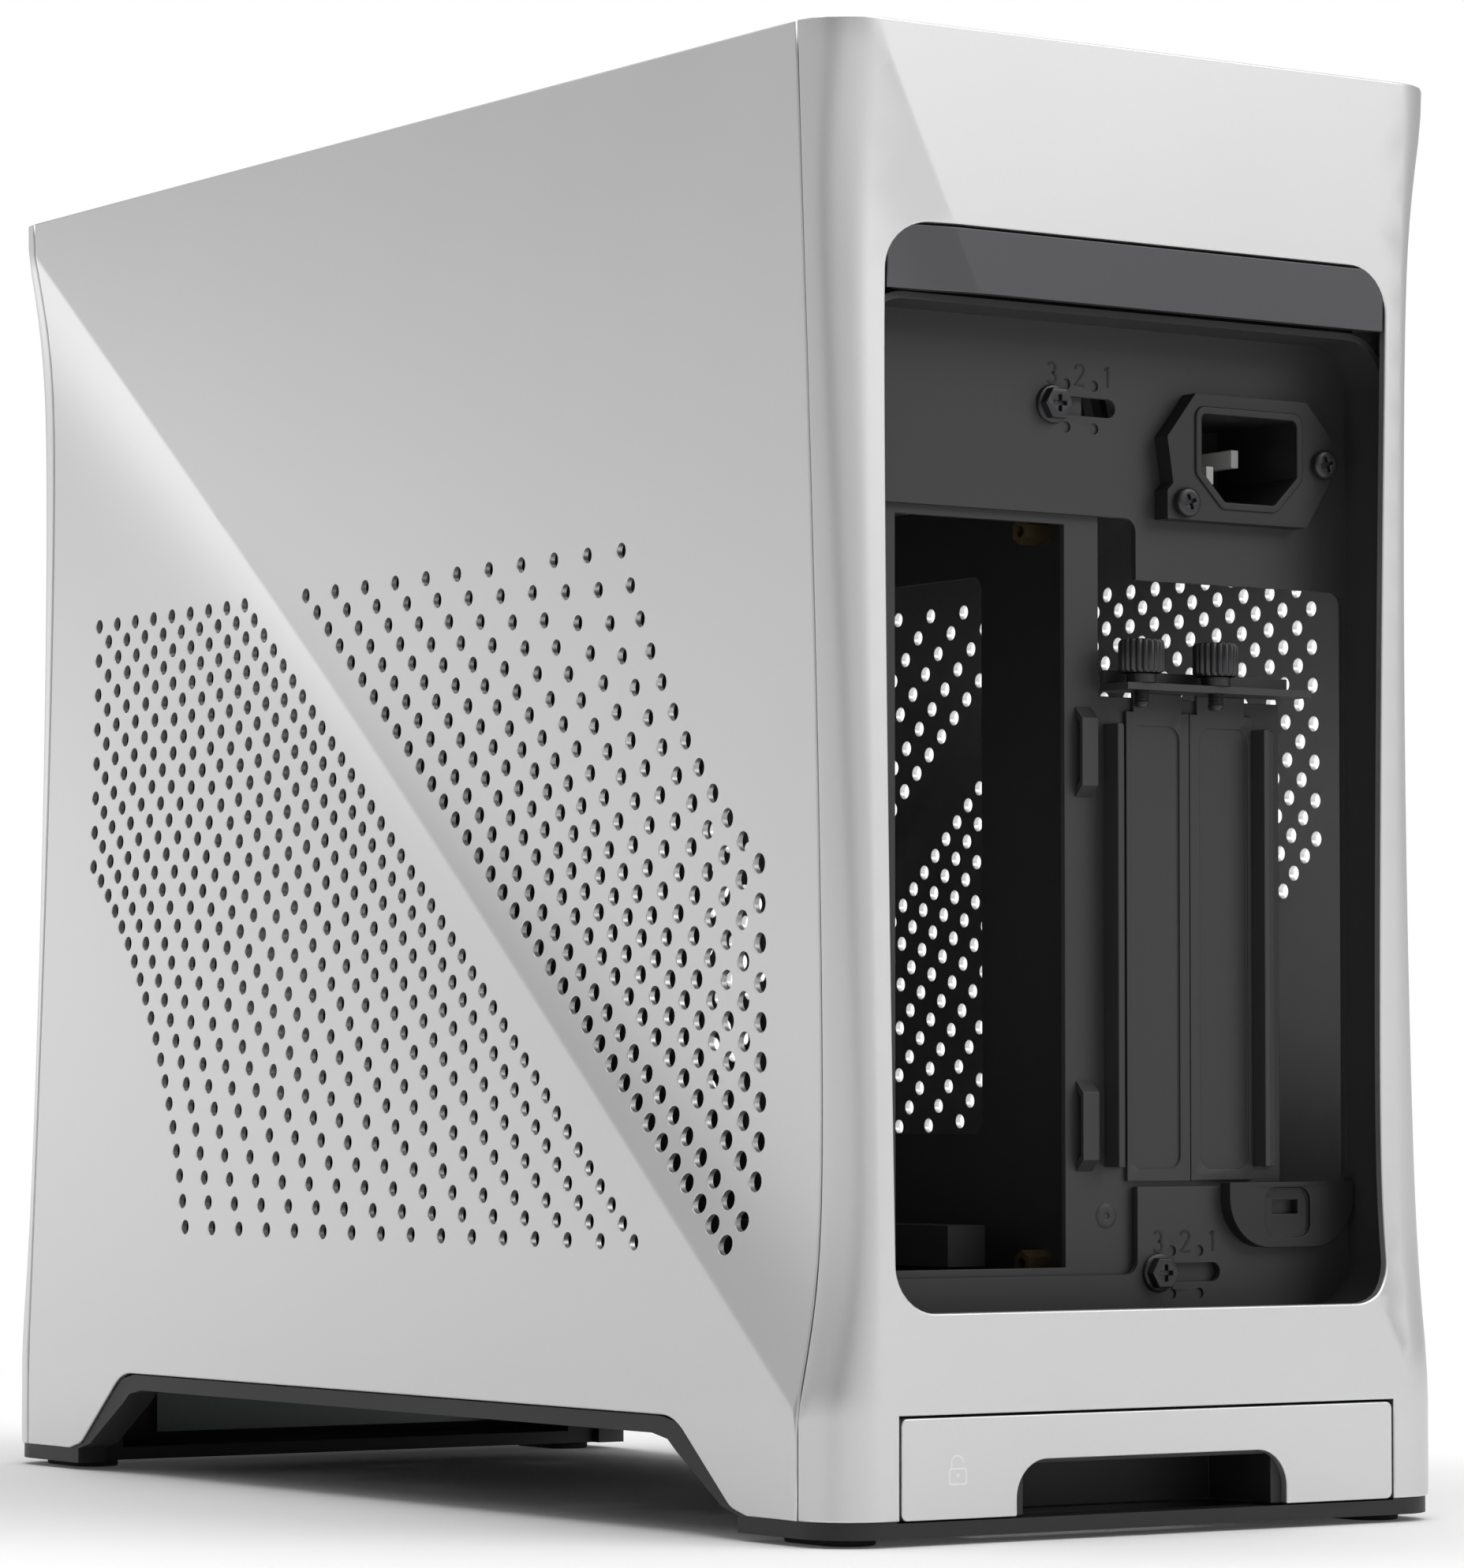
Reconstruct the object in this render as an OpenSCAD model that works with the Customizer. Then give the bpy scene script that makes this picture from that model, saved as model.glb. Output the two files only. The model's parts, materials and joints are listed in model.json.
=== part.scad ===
// Mini tower computer case: sculpted aluminium skin on a black steel chassis,
// with a sliding spine between the motherboard bay and the graphics card bay.
// Millimetres. Z is up, the rear face looks along +Y, and the origin is on the
// floor under the middle of the case.

/* [Case] */
// Width of the case across the side panels
case_w = 165; // [150:1:200]
// Length of the case from front to rear
case_l = 366; // [350:1:420]
// Height of the case above the floor
case_h = 314; // [306:1:360]
// Thickness of the aluminium skin
skin_t = 2; // [1.5:0.1:3]
// Radius of the upright corners
corner_r = 12.95; // [11:0.05:16]
// Open seam between a side panel and the end shells
seam_gap = 0.5; // [0.3:0.1:1]

/* [Sculpted faces] */
// Height of the plain upright band at the foot of every face
band_z = 27; // [26:0.5:32]
// Deepest that a side face could be drawn in
draw_in = 7.7; // [6:0.1:8.5]
// Distance from the face's left edge to the crease at the top
crease_top_in = 3; // [0:0.5:20]
// Distance from the face's right edge to the crease at the foot
crease_foot_in = 13; // [5:0.5:20]
// Distance from an end face's left edge to its crease at the top
end_crease_top_in = 10.7; // [8:0.1:14]
// Distance from an end face's right edge to its crease at the foot
end_crease_foot_in = 9.1; // [8:0.1:14]

/* [Perforation] */
// Diameter of the holes in a side panel
perf_d = 3.4; // [2.5:0.1:4]
// Diameter of the largest holes, low in the rear field
perf_big_d = 4.3; // [3:0.1:5]
// Height of the top row of holes
perf_top_z = 210; // [190:1:230]
// Height of the bottom row of holes
perf_foot_z = 61; // [50:1:80]
// One hole in this many is cut along and across the rows
perf_keep = 2; // [2:1:4]

/* [Base] */
// Height of the rubber feet
foot_h = 1.7; // [1:0.1:4]
// Height of the silver skin's lower edge
skin_z = 5.3; // [4.5:0.1:8]
// How far the black skirt stands inside the skin's outer face
skirt_in = 0.7; // [0.4:0.1:1.5]
// Height of the arch in the side panels
arch_z = 24.9; // [20:0.1:25.5]
// Length of the front foot beside the arch
arch_front_l = 41; // [36:0.5:60]
// Length of the rear foot beside the arch
arch_rear_l = 37.5; // [36:0.5:60]
// Length of the arch's sloping ends
arch_run = 24; // [15:1:40]
// Thickness of the black trim that lines the arch
trim_t = 4; // [3:0.1:6]
// Thickness of the steel sheets
plate_t = 1.5; // [1:0.1:2]
// Height of the floor plate's underside
floor_z = 21; // [20.9:0.1:21]

/* [Rear recess] */
// Width of the opening in the rear shell
opening_w = 132.2; // [130:0.2:136]
// Height of the opening's lower edge
opening_z0 = 47.5; // [46:0.5:48]
// Height of the opening's upper edge
opening_z1 = 272.9; // [268:0.1:280]
// Radius of the opening's corners
opening_r = 10; // [5:0.5:15]
// Depth of the recess floor behind the rear face
recess_in = 19.6; // [18:0.1:22]
// Height of the dark strip's lower edge
strip_z = 257.4; // [254:0.1:260]

/* [Spine] */
// Travel of the spine between its first and last position
spine_travel = 15; // [7.5:7.5:15]
// Place across the case of the motherboard tray's left face
tray_x = 1.4; // [1:0.1:2]
// Height of the motherboard standoffs
standoff_h = 6.2; // [5:0.1:7]
// Distance across the flats of a standoff
standoff_af = 5; // [5:0.1:6]
// Diameter of the standoffs' screw holes
standoff_bore = 2.5; // [2:0.1:3]
// Distance between the board's holes from front to rear
board_hole_l = 154.94; // [154.94:0.01:154.94]
// Distance between the board's holes from bottom to top
board_hole_h = 157.48; // [157.48:0.01:157.48]
// Width of the aperture for the board's sockets
io_w = 44.45; // [44.45:0.01:44.45]
// Height of the aperture for the board's sockets
io_h = 158.75; // [158.75:0.01:158.75]
// Height of the aperture's lower edge
io_z = 55.7; // [55:0.1:57]
// Distance between two expansion slots
slot_pitch = 20.32; // [20.32:0.01:20.32]

/* [Fans] */
// Side of a fan's square frame
fan_w = 120; // [120:1:120]
// Thickness of a fan
fan_t = 25; // [15:1:25]
// Distance between a fan's screw holes
fan_pitch = 105; // [105:0.1:105]
// Diameter of the fan screw holes
fan_hole_d = 4.3; // [4:0.1:4.6]
// Number of blades on a fan
fan_blades = 7; // [5:1:11]
// Distance between the two fans' centres
fan_gap_l = 121; // [121:1:124]

/* [Lock drawer] */
// Width of the lock drawer's front
lock_w = 130.6; // [126:0.2:131]
// Height of the lock drawer's upper edge
lock_z1 = 26.2; // [25:0.1:26.4]
// Half width of the finger notch at the foot
notch_w = 71.8; // [50:0.2:80]
// Height of the finger notch's upper edge
notch_z = 16.9; // [14:0.1:19]

/* [Hidden] */

// Shared small sizes
cut = 1;
fit = 0.3;
hair = 0.1;
sliver = 0.01;
half_w = case_w / 2;
half_l = case_l / 2;
seam_y = half_l - corner_r;
floor_top = floor_z + plate_t;
frame_w = 144;
frame_x = frame_w / 2;
silver = "silver";
steel = [0.13, 0.13, 0.14];
plastic = [0.07, 0.07, 0.075];

// Slopes of the sculpted faces, as rise over run
flare_share = 0.0385;
facet_share = 0.21;
end_depth_share = 0.7;
least_draw = 0.001;
crease_steps = 14;
corner_steps = 5;

// Basic shapes
module block(x0, x1, y0, y1, z0, z1) {
    translate([x0, y0, z0])
        cube([x1 - x0, y1 - y0, z1 - z0]);
}

module rod_x(x0, x1, y, z, d) {
    translate([x0, y, z])
        rotate([0, 90, 0])
            cylinder(d = d, h = x1 - x0, $fn = 32);
}

module rod_y(x, y0, y1, z, d) {
    translate([x, y0, z])
        rotate([-90, 0, 0])
            cylinder(d = d, h = y1 - y0, $fn = 32);
}

module rod_z(x, y, z0, z1, d) {
    translate([x, y, z0])
        cylinder(d = d, h = z1 - z0, $fn = 32);
}

// A flat sheet drawn in X and Z, with its thickness along Y
module upright(y0, y1) {
    translate([0, y1, 0])
        rotate([90, 0, 0])
            linear_extrude(height = y1 - y0)
                children();
}

// A flat sheet drawn in Y and Z, with its thickness along X
module sideways(x0, x1) {
    translate([x0, 0, 0])
        rotate([90, 0, 90])
            linear_extrude(height = x1 - x0)
                children();
}

module rounded(x0, x1, z0, z1, r) {
    translate([x0 + r, z0])
        square([x1 - x0 - 2 * r, z1 - z0]);
    translate([x0, z0 + r])
        square([x1 - x0, z1 - z0 - 2 * r]);
    for (x = [x0 + r, x1 - r])
        for (z = [z0 + r, z1 - r])
            translate([x, z])
                circle(r = r, $fn = 48);
}

// Sculpted faces: every face has a crease from its upper left to its lower right
// corner, seen from outside, and falls away from it on both sides. At the top and at
// the plain band the face is at its full width.
function soft_min(a, b, c) =
    pow(pow(max(a, least_draw), -3) + pow(b, -3) + pow(max(c, least_draw), -3), -1 / 3);

function drawn_in(u, z, u_top, u_foot) =
    let (
        h = max(z, band_z),
        zc = case_h - (case_h - band_z) * (u - u_top) / (u_foot - u_top),
        from_top = flare_share * (case_h - h),
        from_band = flare_share * (h - band_z),
        crease_from_top = flare_share * (case_h - zc),
        crease_from_band = flare_share * (zc - band_z)
    )
    h >= zc
        ? soft_min(from_top, draw_in, crease_from_band + facet_share * (h - zc))
        : soft_min(from_band, draw_in, crease_from_top + facet_share * (zc - h));

function side_in(y, z) = drawn_in(y, z, crease_top_in - half_l, half_l - crease_foot_in);

function end_in(x, z) =
    end_depth_share * drawn_in(-x, z, end_crease_top_in - half_w, half_w - end_crease_foot_in);

// Rows of the faces' grids run down the crease in equal steps
function crease_z(i) = case_h - (case_h - band_z) * i / crease_steps;
function crease_y(i) = crease_top_in - half_l
    + (case_l - crease_top_in - crease_foot_in) * i / crease_steps;
function crease_x(i) = half_w - end_crease_top_in
    - (case_w - end_crease_top_in - end_crease_foot_in) * i / crease_steps;

// A closed sheet between an outer and an inner grid of points, rows from the top down
// and columns from left to right, seen from outside
module skin(outer, inner) {
    rows = len(outer);
    cols = len(outer[0]);
    n = rows * cols;
    function quad(a, b, c, d) = [[a, b, c], [a, c, d]];
    function cell(i, j) = quad(i * cols + j, i * cols + j + 1, (i + 1) * cols + j + 1, (i + 1) * cols + j);
    last = (rows - 1) * cols;
    faces = concat(
        [for (i = [0:rows - 2]) for (j = [0:cols - 2]) for (f = cell(i, j)) f],
        [for (i = [0:rows - 2]) for (j = [0:cols - 2]) for (f = cell(i, j)) [n + f[0], n + f[2], n + f[1]]],
        [for (j = [0:cols - 2]) for (f = quad(j + 1, j, n + j, n + j + 1)) f],
        [for (j = [0:cols - 2]) for (f = quad(last + j, last + j + 1, n + last + j + 1, n + last + j)) f],
        [for (i = [0:rows - 2])
            for (f = quad(i * cols, (i + 1) * cols, n + (i + 1) * cols, n + i * cols)) f],
        [for (i = [0:rows - 2])
            for (f = quad((i + 1) * cols + cols - 1, i * cols + cols - 1, n + i * cols + cols - 1,
                n + (i + 1) * cols + cols - 1)) f]);
    polyhedron(points = concat([for (row = outer) for (p = row) p], [for (row = inner) for (p = row) p]),
        faces = faces, convexity = 6);
}

// Side panel, drawn for the right side; the left one is the same, turned half round
panel_y = seam_y - seam_gap / 2;
panel_front_z = case_h - (case_h - band_z) * (half_l - panel_y - crease_top_in)
    / (case_l - crease_top_in - crease_foot_in);
panel_rows = concat([case_h, panel_front_z], [for (i = [1:crease_steps]) crease_z(i)], [skin_z]);
panel_cols = concat([-panel_y], [for (i = [1:crease_steps]) if (crease_y(i) < panel_y) crease_y(i)],
    [panel_y]);

function panel_grid(inset) =
    [for (z = panel_rows) [for (y = panel_cols) [half_w - side_in(y, z) - inset, y, z]]];

// Perforation: two fields of bowed rows, one on each side of the crease. A row is a
// quadratic curve from its start to its end, pushed out sideways by its bow.
front_rows = 16;
front_top_rows = 9;
front_top_y = -69;
front_left_y = -144.6;
front_foot_y = 107;
front_foot_pitch = 13.2;
front_top_pitch = (front_top_y - front_left_y) / (front_top_rows - 1);
front_left_pitch = 8.6;
front_bow = 1.6;
front_bow_most = 17;
rear_rows = 11;
rear_top_y = -38;
rear_top_pitch = 13.6;
rear_right_y = 148.2;
rear_right_z = 61;
rear_right_pitch = 8.3;
rear_first_y = 139.7;
rear_bow = 2.2;
rear_bow_most = 12;
bow_y_share = 0.67;
bow_z_share = 0.74;

function bowed(a, b, bow, t) =
    let (c = (a + b) / 2 + bow * [bow_y_share, bow_z_share])
    (1 - t) * (1 - t) * a + 2 * t * (1 - t) * c + t * t * b;

function front_start(k) = k < front_top_rows
    ? [front_top_y - front_top_pitch * k, perf_top_z]
    : [front_left_y, perf_top_z - front_left_pitch * (k - front_top_rows + 1)];
function front_end(k) = [front_foot_y - front_foot_pitch * k, perf_foot_z];
function front_count(k) = k < front_top_rows
    ? round(33 + 6 * pow((front_top_rows - 1 - k) / (front_top_rows - 1), 1.7))
    : 33 - 2 * (k - front_top_rows + 1);
function rear_start(k) = [rear_top_y + rear_top_pitch * k, perf_top_z];
function rear_end(k) = k == 0
    ? [rear_first_y, perf_foot_z]
    : [rear_right_y - (rear_right_y - rear_first_y) / (2 * k * k),
        rear_right_z + rear_right_pitch * (k - 0.4)];
function rear_count(k) = max(12, round(36 - 2.6 * k));

module perforation() {
    for (k = [0:perf_keep:front_rows - 1])
        for (i = [0:perf_keep:front_count(k) - 1])
            let (p = bowed(front_start(k), front_end(k), min(front_bow * k, front_bow_most),
                i / (front_count(k) - 1)))
            rod_x(half_w - draw_in - skin_t - cut, half_w + cut, p[0], p[1], perf_d);
    for (k = [0:perf_keep:rear_rows - 1])
        for (i = [0:perf_keep:rear_count(k) - 1])
            let (p = bowed(rear_start(k), rear_end(k), -min(rear_bow * k, rear_bow_most),
                i / (rear_count(k) - 1)))
            rod_x(half_w - draw_in - skin_t - cut, half_w + cut, p[0], p[1],
                perf_d + (perf_big_d - perf_d) * i / (rear_count(k) - 1));
}

// Outline of the arch in Y and Z, raised or lowered by a margin
arch_r = 12;
arch_front_y = arch_front_l - half_l;
arch_rear_y = half_l - arch_rear_l;
arch_toe = 6;
module arch_outline(margin) {
    y0 = arch_front_y + margin;
    y1 = arch_rear_y - margin;
    top = arch_z - margin;
    run = arch_run;
    polygon([[y0 - arch_toe, -cut], [y0 - arch_toe, skin_z], [y0, skin_z + arch_toe / 4],
        [y0 + run * 0.72, top - arch_r * 0.28], [y0 + run * 0.85, top - arch_r * 0.09], [y0 + run * 1.1, top],
        [y1 - run * 1.1, top], [y1 - run * 0.85, top - arch_r * 0.09], [y1 - run * 0.72, top - arch_r * 0.28],
        [y1, skin_z + arch_toe / 4], [y1 + arch_toe, skin_z], [y1 + arch_toe, -cut]]);
}

module right_panel() {
    difference() {
        skin(panel_grid(0), panel_grid(skin_t));
        perforation();
        sideways(half_w - 2 * skin_t, half_w + cut)
            arch_outline(0);
    }
}

module side_panel_right() {
    color(silver)
        right_panel();
}

module side_panel_left() {
    color(silver)
        rotate([0, 0, 180])
            right_panel();
}

// End shells: the rear face and both rear corners. The front shell is the same skin,
// turned half round, with the front sockets' holes in place of the rear openings.
corner_x = half_w - corner_r;
corner_turns = [for (k = [0:corner_steps]) 90 * k / corner_steps];
face_xs = [for (i = [1:crease_steps]) if (abs(crease_x(i)) < corner_x) crease_x(i)];

function shell_row(z, inset) = concat(
    [for (a = corner_turns)
        [corner_x + (corner_r - inset - side_in(seam_y, z)) * cos(a),
            a == 0 ? seam_y + seam_gap / 2 : seam_y + (corner_r - inset - end_in(corner_x, z)) * sin(a), z]],
    [for (x = face_xs) [x, half_l - inset - end_in(x, z), z]],
    [for (k = [corner_steps:-1:0]) let (a = corner_turns[k])
        [-corner_x - (corner_r - inset - side_in(-seam_y, z)) * cos(a),
            a == 0 ? seam_y + seam_gap / 2 : seam_y + (corner_r - inset - end_in(-corner_x, z)) * sin(a),
                z]]);

shell_rows = concat([for (i = [0:crease_steps]) crease_z(i)], [skin_z]);

module end_skin() {
    skin([for (z = shell_rows) shell_row(z, 0)], [for (z = shell_rows) shell_row(z, skin_t)]);
}

lock_gap = 0.5;
module rear_shell() {
    color(silver)
        difference() {
            end_skin();
            upright(seam_y, half_l + cut)
                rounded(-opening_w / 2, opening_w / 2, opening_z0, opening_z1, opening_r);
            block(-lock_w / 2 - lock_gap, lock_w / 2 + lock_gap, seam_y, half_l + cut, 0, lock_z1 + lock_gap);
        }
}

// Front sockets stand in the plain band: places across the front and sizes
socket_z = 15.5;
button_x = -46;
audio_x = -27;
usb_c_x = -12;
usb_a_xs = [8, 29];
button_d = 9.6;
button_clear = 3;
audio_d = 6.4;
usb_c_w = 9;
usb_c_h = 3.2;
usb_a_w = 13.2;
usb_a_h = 5.8;

module socket_holes(gap, y0, y1, button_hole) {
    rod_y(button_x, y0, y1, socket_z, button_hole);
    rod_y(audio_x, y0, y1, socket_z, audio_d + 2 * gap);
    upright(y0, y1)
        rounded(usb_c_x - usb_c_w / 2 - gap, usb_c_x + usb_c_w / 2 + gap, socket_z - usb_c_h / 2 - gap,
            socket_z + usb_c_h / 2 + gap, usb_c_h / 2);
    for (x = usb_a_xs)
        block(x - usb_a_w / 2 - gap, x + usb_a_w / 2 + gap, y0, y1, socket_z - usb_a_h / 2 - gap,
            socket_z + usb_a_h / 2 + gap);
}

module front_shell() {
    color(silver)
        difference() {
            rotate([0, 0, 180])
                end_skin();
            socket_holes(fit, -half_l - cut, -half_l + skin_t + cut, button_d + 2 * fit);
        }
}

// Base: a skirt that carries the skin, lines the arches and holds four posts
wall_in = skin_t + fit;
skirt_w = 8.5;
skirt_x = half_w - skirt_w;
skirt_top = band_z - fit;
lip_top = skin_z - hair;
post_x = 66;
post_y = 150;
post_end = half_l - skirt_w + fit;
bar_top = 4.9;
stud_d = 4;
stud_foot_z = 14;
stud_foot_y = 161;
notch_top_w = 62.6;
notch_side_z = 12.2;

module plan(inset) {
    r = corner_r - inset;
    rounded(-half_w + inset, half_w - inset, -half_l + inset, half_l - inset, r);
}

module ring(inset, inner, z0, z1) {
    translate([0, 0, z0])
        linear_extrude(height = z1 - z0)
            difference() {
                plan(inset);
                plan(inner);
            }
}

module notch_outline() {
    polygon([[-notch_w / 2, -cut], [-notch_w / 2, notch_side_z], [-notch_top_w / 2, notch_z],
        [notch_top_w / 2, notch_z], [notch_w / 2, notch_side_z], [notch_w / 2, -cut]]);
}

module base_skirt() {
    color(plastic)
        difference() {
            union() {
                difference() {
                    union() {
                        ring(skirt_in, skirt_w, foot_h, lip_top);
                        ring(wall_in, skirt_w, foot_h, skirt_top);
                    }
                    for (a = [0, 180])
                        rotate([0, 0, a])
                            sideways(0, case_w)
                                arch_outline(fit);
                }
                for (a = [0, 180])
                    rotate([0, 0, a])
                        intersection() {
                            sideways(skirt_x, half_w - skirt_in)
                                difference() {
                                    arch_outline(fit);
                                    arch_outline(trim_t);
                                }
                            block(skirt_x, half_w, -half_l, half_l, foot_h, arch_z);
                        }
                for (x = [-skirt_x, post_x])
                    for (y = [-post_end, post_y])
                        block(x, x + skirt_x - post_x, y, y + post_end - post_y, foot_h, skirt_top);
            }
            block(-post_x, post_x, post_y, half_l, bar_top, half_l);
            for (x = [-half_w, post_x - cut])
                for (y = [-stud_foot_y, stud_foot_y])
                    rod_x(x, x + half_w - post_x + cut, y, stud_foot_z, stud_d + 2 * fit);
            socket_holes(fit, -half_l, -half_l + skirt_w + cut, button_d + button_clear);
        }
    color(plastic)
        block(-post_x, post_x, -post_end, -post_y, foot_h, bar_top);
    color(plastic)
        difference() {
            block(-post_x, post_x, post_y, half_l - skirt_w, foot_h, bar_top);
            upright(post_y + skirt_w, half_l)
                notch_outline();
        }
}

pad_x = 70;
pad_y = 164;
pad_d = 12;
pad_l = 12;
module foot_pads() {
    color([0.03, 0.03, 0.03])
        for (x = [-pad_x, pad_x])
            for (y = [-pad_y, pad_y])
                translate([x, y, 0])
                    linear_extrude(height = foot_h) {
                        square([pad_d, pad_l], center = true);
                        for (s = [-pad_l / 2, pad_l / 2])
                            translate([0, s])
                                circle(d = pad_d, $fn = 48);
                    }
}

// Floor plate with two slotted grilles under the fans
fan_y = fan_gap_l / 2;
grille_d = 114;
grille_slot = 7;
grille_rib = 3;
floor_gap = 0.5;
floor_l = 2 * (post_y - floor_gap);

module grille(d) {
    pitch = grille_slot + grille_rib;
    count = floor(d / pitch / 2);
    intersection() {
        circle(d = d, $fn = 96);
        union()
            for (i = [-count:count])
                for (s = [-1, 1])
                    translate([s * (d / 4 + grille_rib / 2), i * pitch])
                        square([d / 2 - grille_rib / 2, grille_slot], center = true);
    }
}

module fan_holes(z0, z1, d) {
    for (y = [-fan_y, fan_y])
        for (sx = [-1, 1])
            for (sy = [-1, 1])
                rod_z(sx * fan_pitch / 2, y + sy * fan_pitch / 2, z0, z1, d);
}

module base_floor() {
    color(steel)
        difference() {
            block(-skirt_x + hair, skirt_x - hair, -floor_l / 2, floor_l / 2, floor_z, floor_top);
            for (y = [-fan_y, fan_y])
                translate([0, y, floor_z - cut])
                    linear_extrude(height = plate_t + 2 * cut)
                        grille(grille_d);
            fan_holes(floor_z - cut, floor_top + cut, fan_hole_d);
        }
}

// Rear frame: the steel wall of the recess, with a window for the spine's rear plate
recess_y = half_l - recess_in;
tub_in = 69.5;
tub_x = tub_in + plate_t;
tub_drop = 1;
tub_z0 = opening_z0 - tub_drop;
tub_short = 7;
tub_end = half_l - tub_short;
frame_top = 296.5;
window_x = 68.9;
window_step_x = -11;
window_z0 = 54;
window_z1 = 216.5;
window_step_z0 = 72.8;
window_step_z1 = 203.3;
window_r = 3;
adjust_top_x = 11.5;
adjust_top_z = 239.8;
adjust_foot_x = -16.5;
adjust_foot_z = 54.3;
adjust_slot_h = 4.1;
dimple_d = 2.4;
dimple_t = 0.5;
dimple_up = 4.6;
inlet_x = -38.6;
inlet_z = 230.3;
inlet_body_w = 31;
inlet_body_h = 23;
inlet_hole_d = 3.2;
inlet_screw_1 = [-21.1, 220.2];
inlet_screw_2 = [-59.4, 230.6];
flange_l = 14;
rivet_d = 5;
rivet_t = 1;

module window() {
    rounded(window_step_x, window_x, window_z0, window_z1, window_r);
    rounded(-window_x, window_x, window_step_z0, window_step_z1, window_r);
}

module adjust_slot(x, z) {
    translate([x - spine_travel, z - adjust_slot_h / 2])
        square([spine_travel, adjust_slot_h]);
    for (s = [0, spine_travel])
        translate([x - s, z])
            circle(d = adjust_slot_h, $fn = 48);
}

module rear_frame() {
    color(steel)
        union() {
            difference() {
                upright(recess_y - plate_t, recess_y)
                    difference() {
                        translate([-frame_x, skirt_top])
                            square([frame_w, frame_top - skirt_top]);
                        window();
                        adjust_slot(adjust_top_x, adjust_top_z);
                        adjust_slot(adjust_foot_x, adjust_foot_z);
                        translate([inlet_x - inlet_body_w / 2, inlet_z - inlet_body_h / 2])
                            square([inlet_body_w, inlet_body_h]);
                        for (p = [inlet_screw_1, inlet_screw_2])
                            translate(p)
                                circle(d = inlet_hole_d, $fn = 32);
                    }
                for (row = [[adjust_top_x, adjust_top_z], [adjust_foot_x, adjust_foot_z]])
                    for (i = [0.5, 1.5])
                        for (s = [-1, 1])
                            rod_y(row[0] - i * spine_travel / 2, recess_y - dimple_t, recess_y + cut,
                                row[1] + s * dimple_up, dimple_d);
            }
            upright(recess_y, tub_end)
                difference() {
                    rounded(-tub_x, tub_x, tub_z0 - plate_t, strip_z + plate_t, opening_r + plate_t);
                    rounded(-tub_in, tub_in, tub_z0, strip_z, opening_r);
                }
            block(-frame_x, frame_x, recess_y - flange_l, recess_y, frame_top - plate_t, frame_top);
        }
}

// Dark strip under the opening's upper edge, following the sculpted face
strip_gap = 0.5;
strip_t = 2;
module rear_fascia() {
    color([0.2, 0.2, 0.21])
        intersection() {
            upright(seam_y, half_l)
                intersection() {
                    rounded(-opening_w / 2 + strip_gap, opening_w / 2 - strip_gap, opening_z0,
                        opening_z1 - strip_gap, opening_r - strip_gap);
                    translate([-half_w, strip_z + plate_t + hair])
                        square([case_w, case_h - strip_z]);
                }
            strip_skin();
        }
}

module strip_skin() {
    xs = concat([corner_x], face_xs, [-corner_x]);
    zs = [for (i = [1:3]) crease_z(i)];
    skin([for (z = zs) [for (x = xs) [x, half_l - strip_gap / 2 - end_in(x, z), z]]],
        [for (z = zs) [for (x = xs) [x, half_l - strip_gap / 2 - strip_t - end_in(x, z), z]]]);
}

// Front frame: an open steel plate that stands on the front posts
front_y = -165.5;
front_hole_x = 52;
front_hole_z0 = 70;
front_hole_z1 = 255;
guide_x = 34;
guide_z0 = 60;
guide_z1 = 270;
guide_d = 3;

module front_frame() {
    color(steel) {
        upright(front_y - plate_t, front_y)
            difference() {
                translate([-frame_x, skirt_top])
                    square([frame_w, frame_top - skirt_top]);
                rounded(-front_hole_x, front_hole_x, front_hole_z0, front_hole_z1, opening_r);
                adjust_slot(guide_x, guide_z0);
                adjust_slot(guide_x, guide_z1);
            }
        block(-frame_x, frame_x, front_y, front_y + flange_l, frame_top - plate_t, frame_top);
    }
}

// Top frame: carries two more fans or a radiator, with upturned flanges for the panels
top_z = frame_top + plate_t;
top_flange_h = 9;
top_stud_rise = 4.5;
top_stud_z = top_z + top_stud_rise;
top_stud_y = 150;
peg_x = 62;
peg_y = 142;
peg_d = 6;
peg_tip = 2;
module top_frame() {
    y0 = front_y - plate_t;
    color(steel)
        difference() {
            union() {
                block(-frame_x, frame_x, y0, recess_y, frame_top, top_z);
                for (x = [-frame_x, frame_x - plate_t])
                    block(x, x + plate_t, y0, recess_y, top_z, top_z + top_flange_h);
            }
            for (y = [-fan_y, fan_y])
                rod_z(0, y, frame_top - cut, top_z + cut, grille_d);
            fan_holes(frame_top - cut, top_z + cut, fan_hole_d);
            for (x = [-frame_x - cut, frame_x - plate_t - cut])
                for (y = [-top_stud_y, top_stud_y])
                    rod_x(x, x + plate_t + 2 * cut, y, top_stud_z, stud_d + 2 * fit);
            for (x = [-peg_x, peg_x])
                for (y = [-peg_y, peg_y])
                    rod_z(x, y, frame_top - cut, top_z + cut, peg_d + 2 * fit);
        }
}

module frame_rivets() {
    color([0.3, 0.3, 0.31])
        for (y = [front_y + flange_l / 2, recess_y - flange_l / 2])
            for (x = [-1, -1 / 3, 1 / 3, 1] * frame_w / 3)
                rod_z(x, y, top_z, top_z + rivet_t, rivet_d);
}

// Ball studs that hold the side panels
stud_l = 12;
stud_base_d = 9;
stud_base_t = 1.5;
module right_studs() {
    for (y = [-top_stud_y, top_stud_y]) {
        root = half_w - skin_t - flare_share * (case_h - top_stud_z) - fit;
        rod_x(root - stud_l, root, y, top_stud_z, stud_d);
        rod_x(root - stud_base_t, root, y, top_stud_z, stud_base_d);
    }
    for (y = [-stud_foot_y, stud_foot_y])
        rod_x(half_w - skin_t - stud_l, half_w - skin_t - hair, y, stud_foot_z, stud_d);
}

module panel_studs_right() {
    color("gainsboro")
        right_studs();
}

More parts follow.
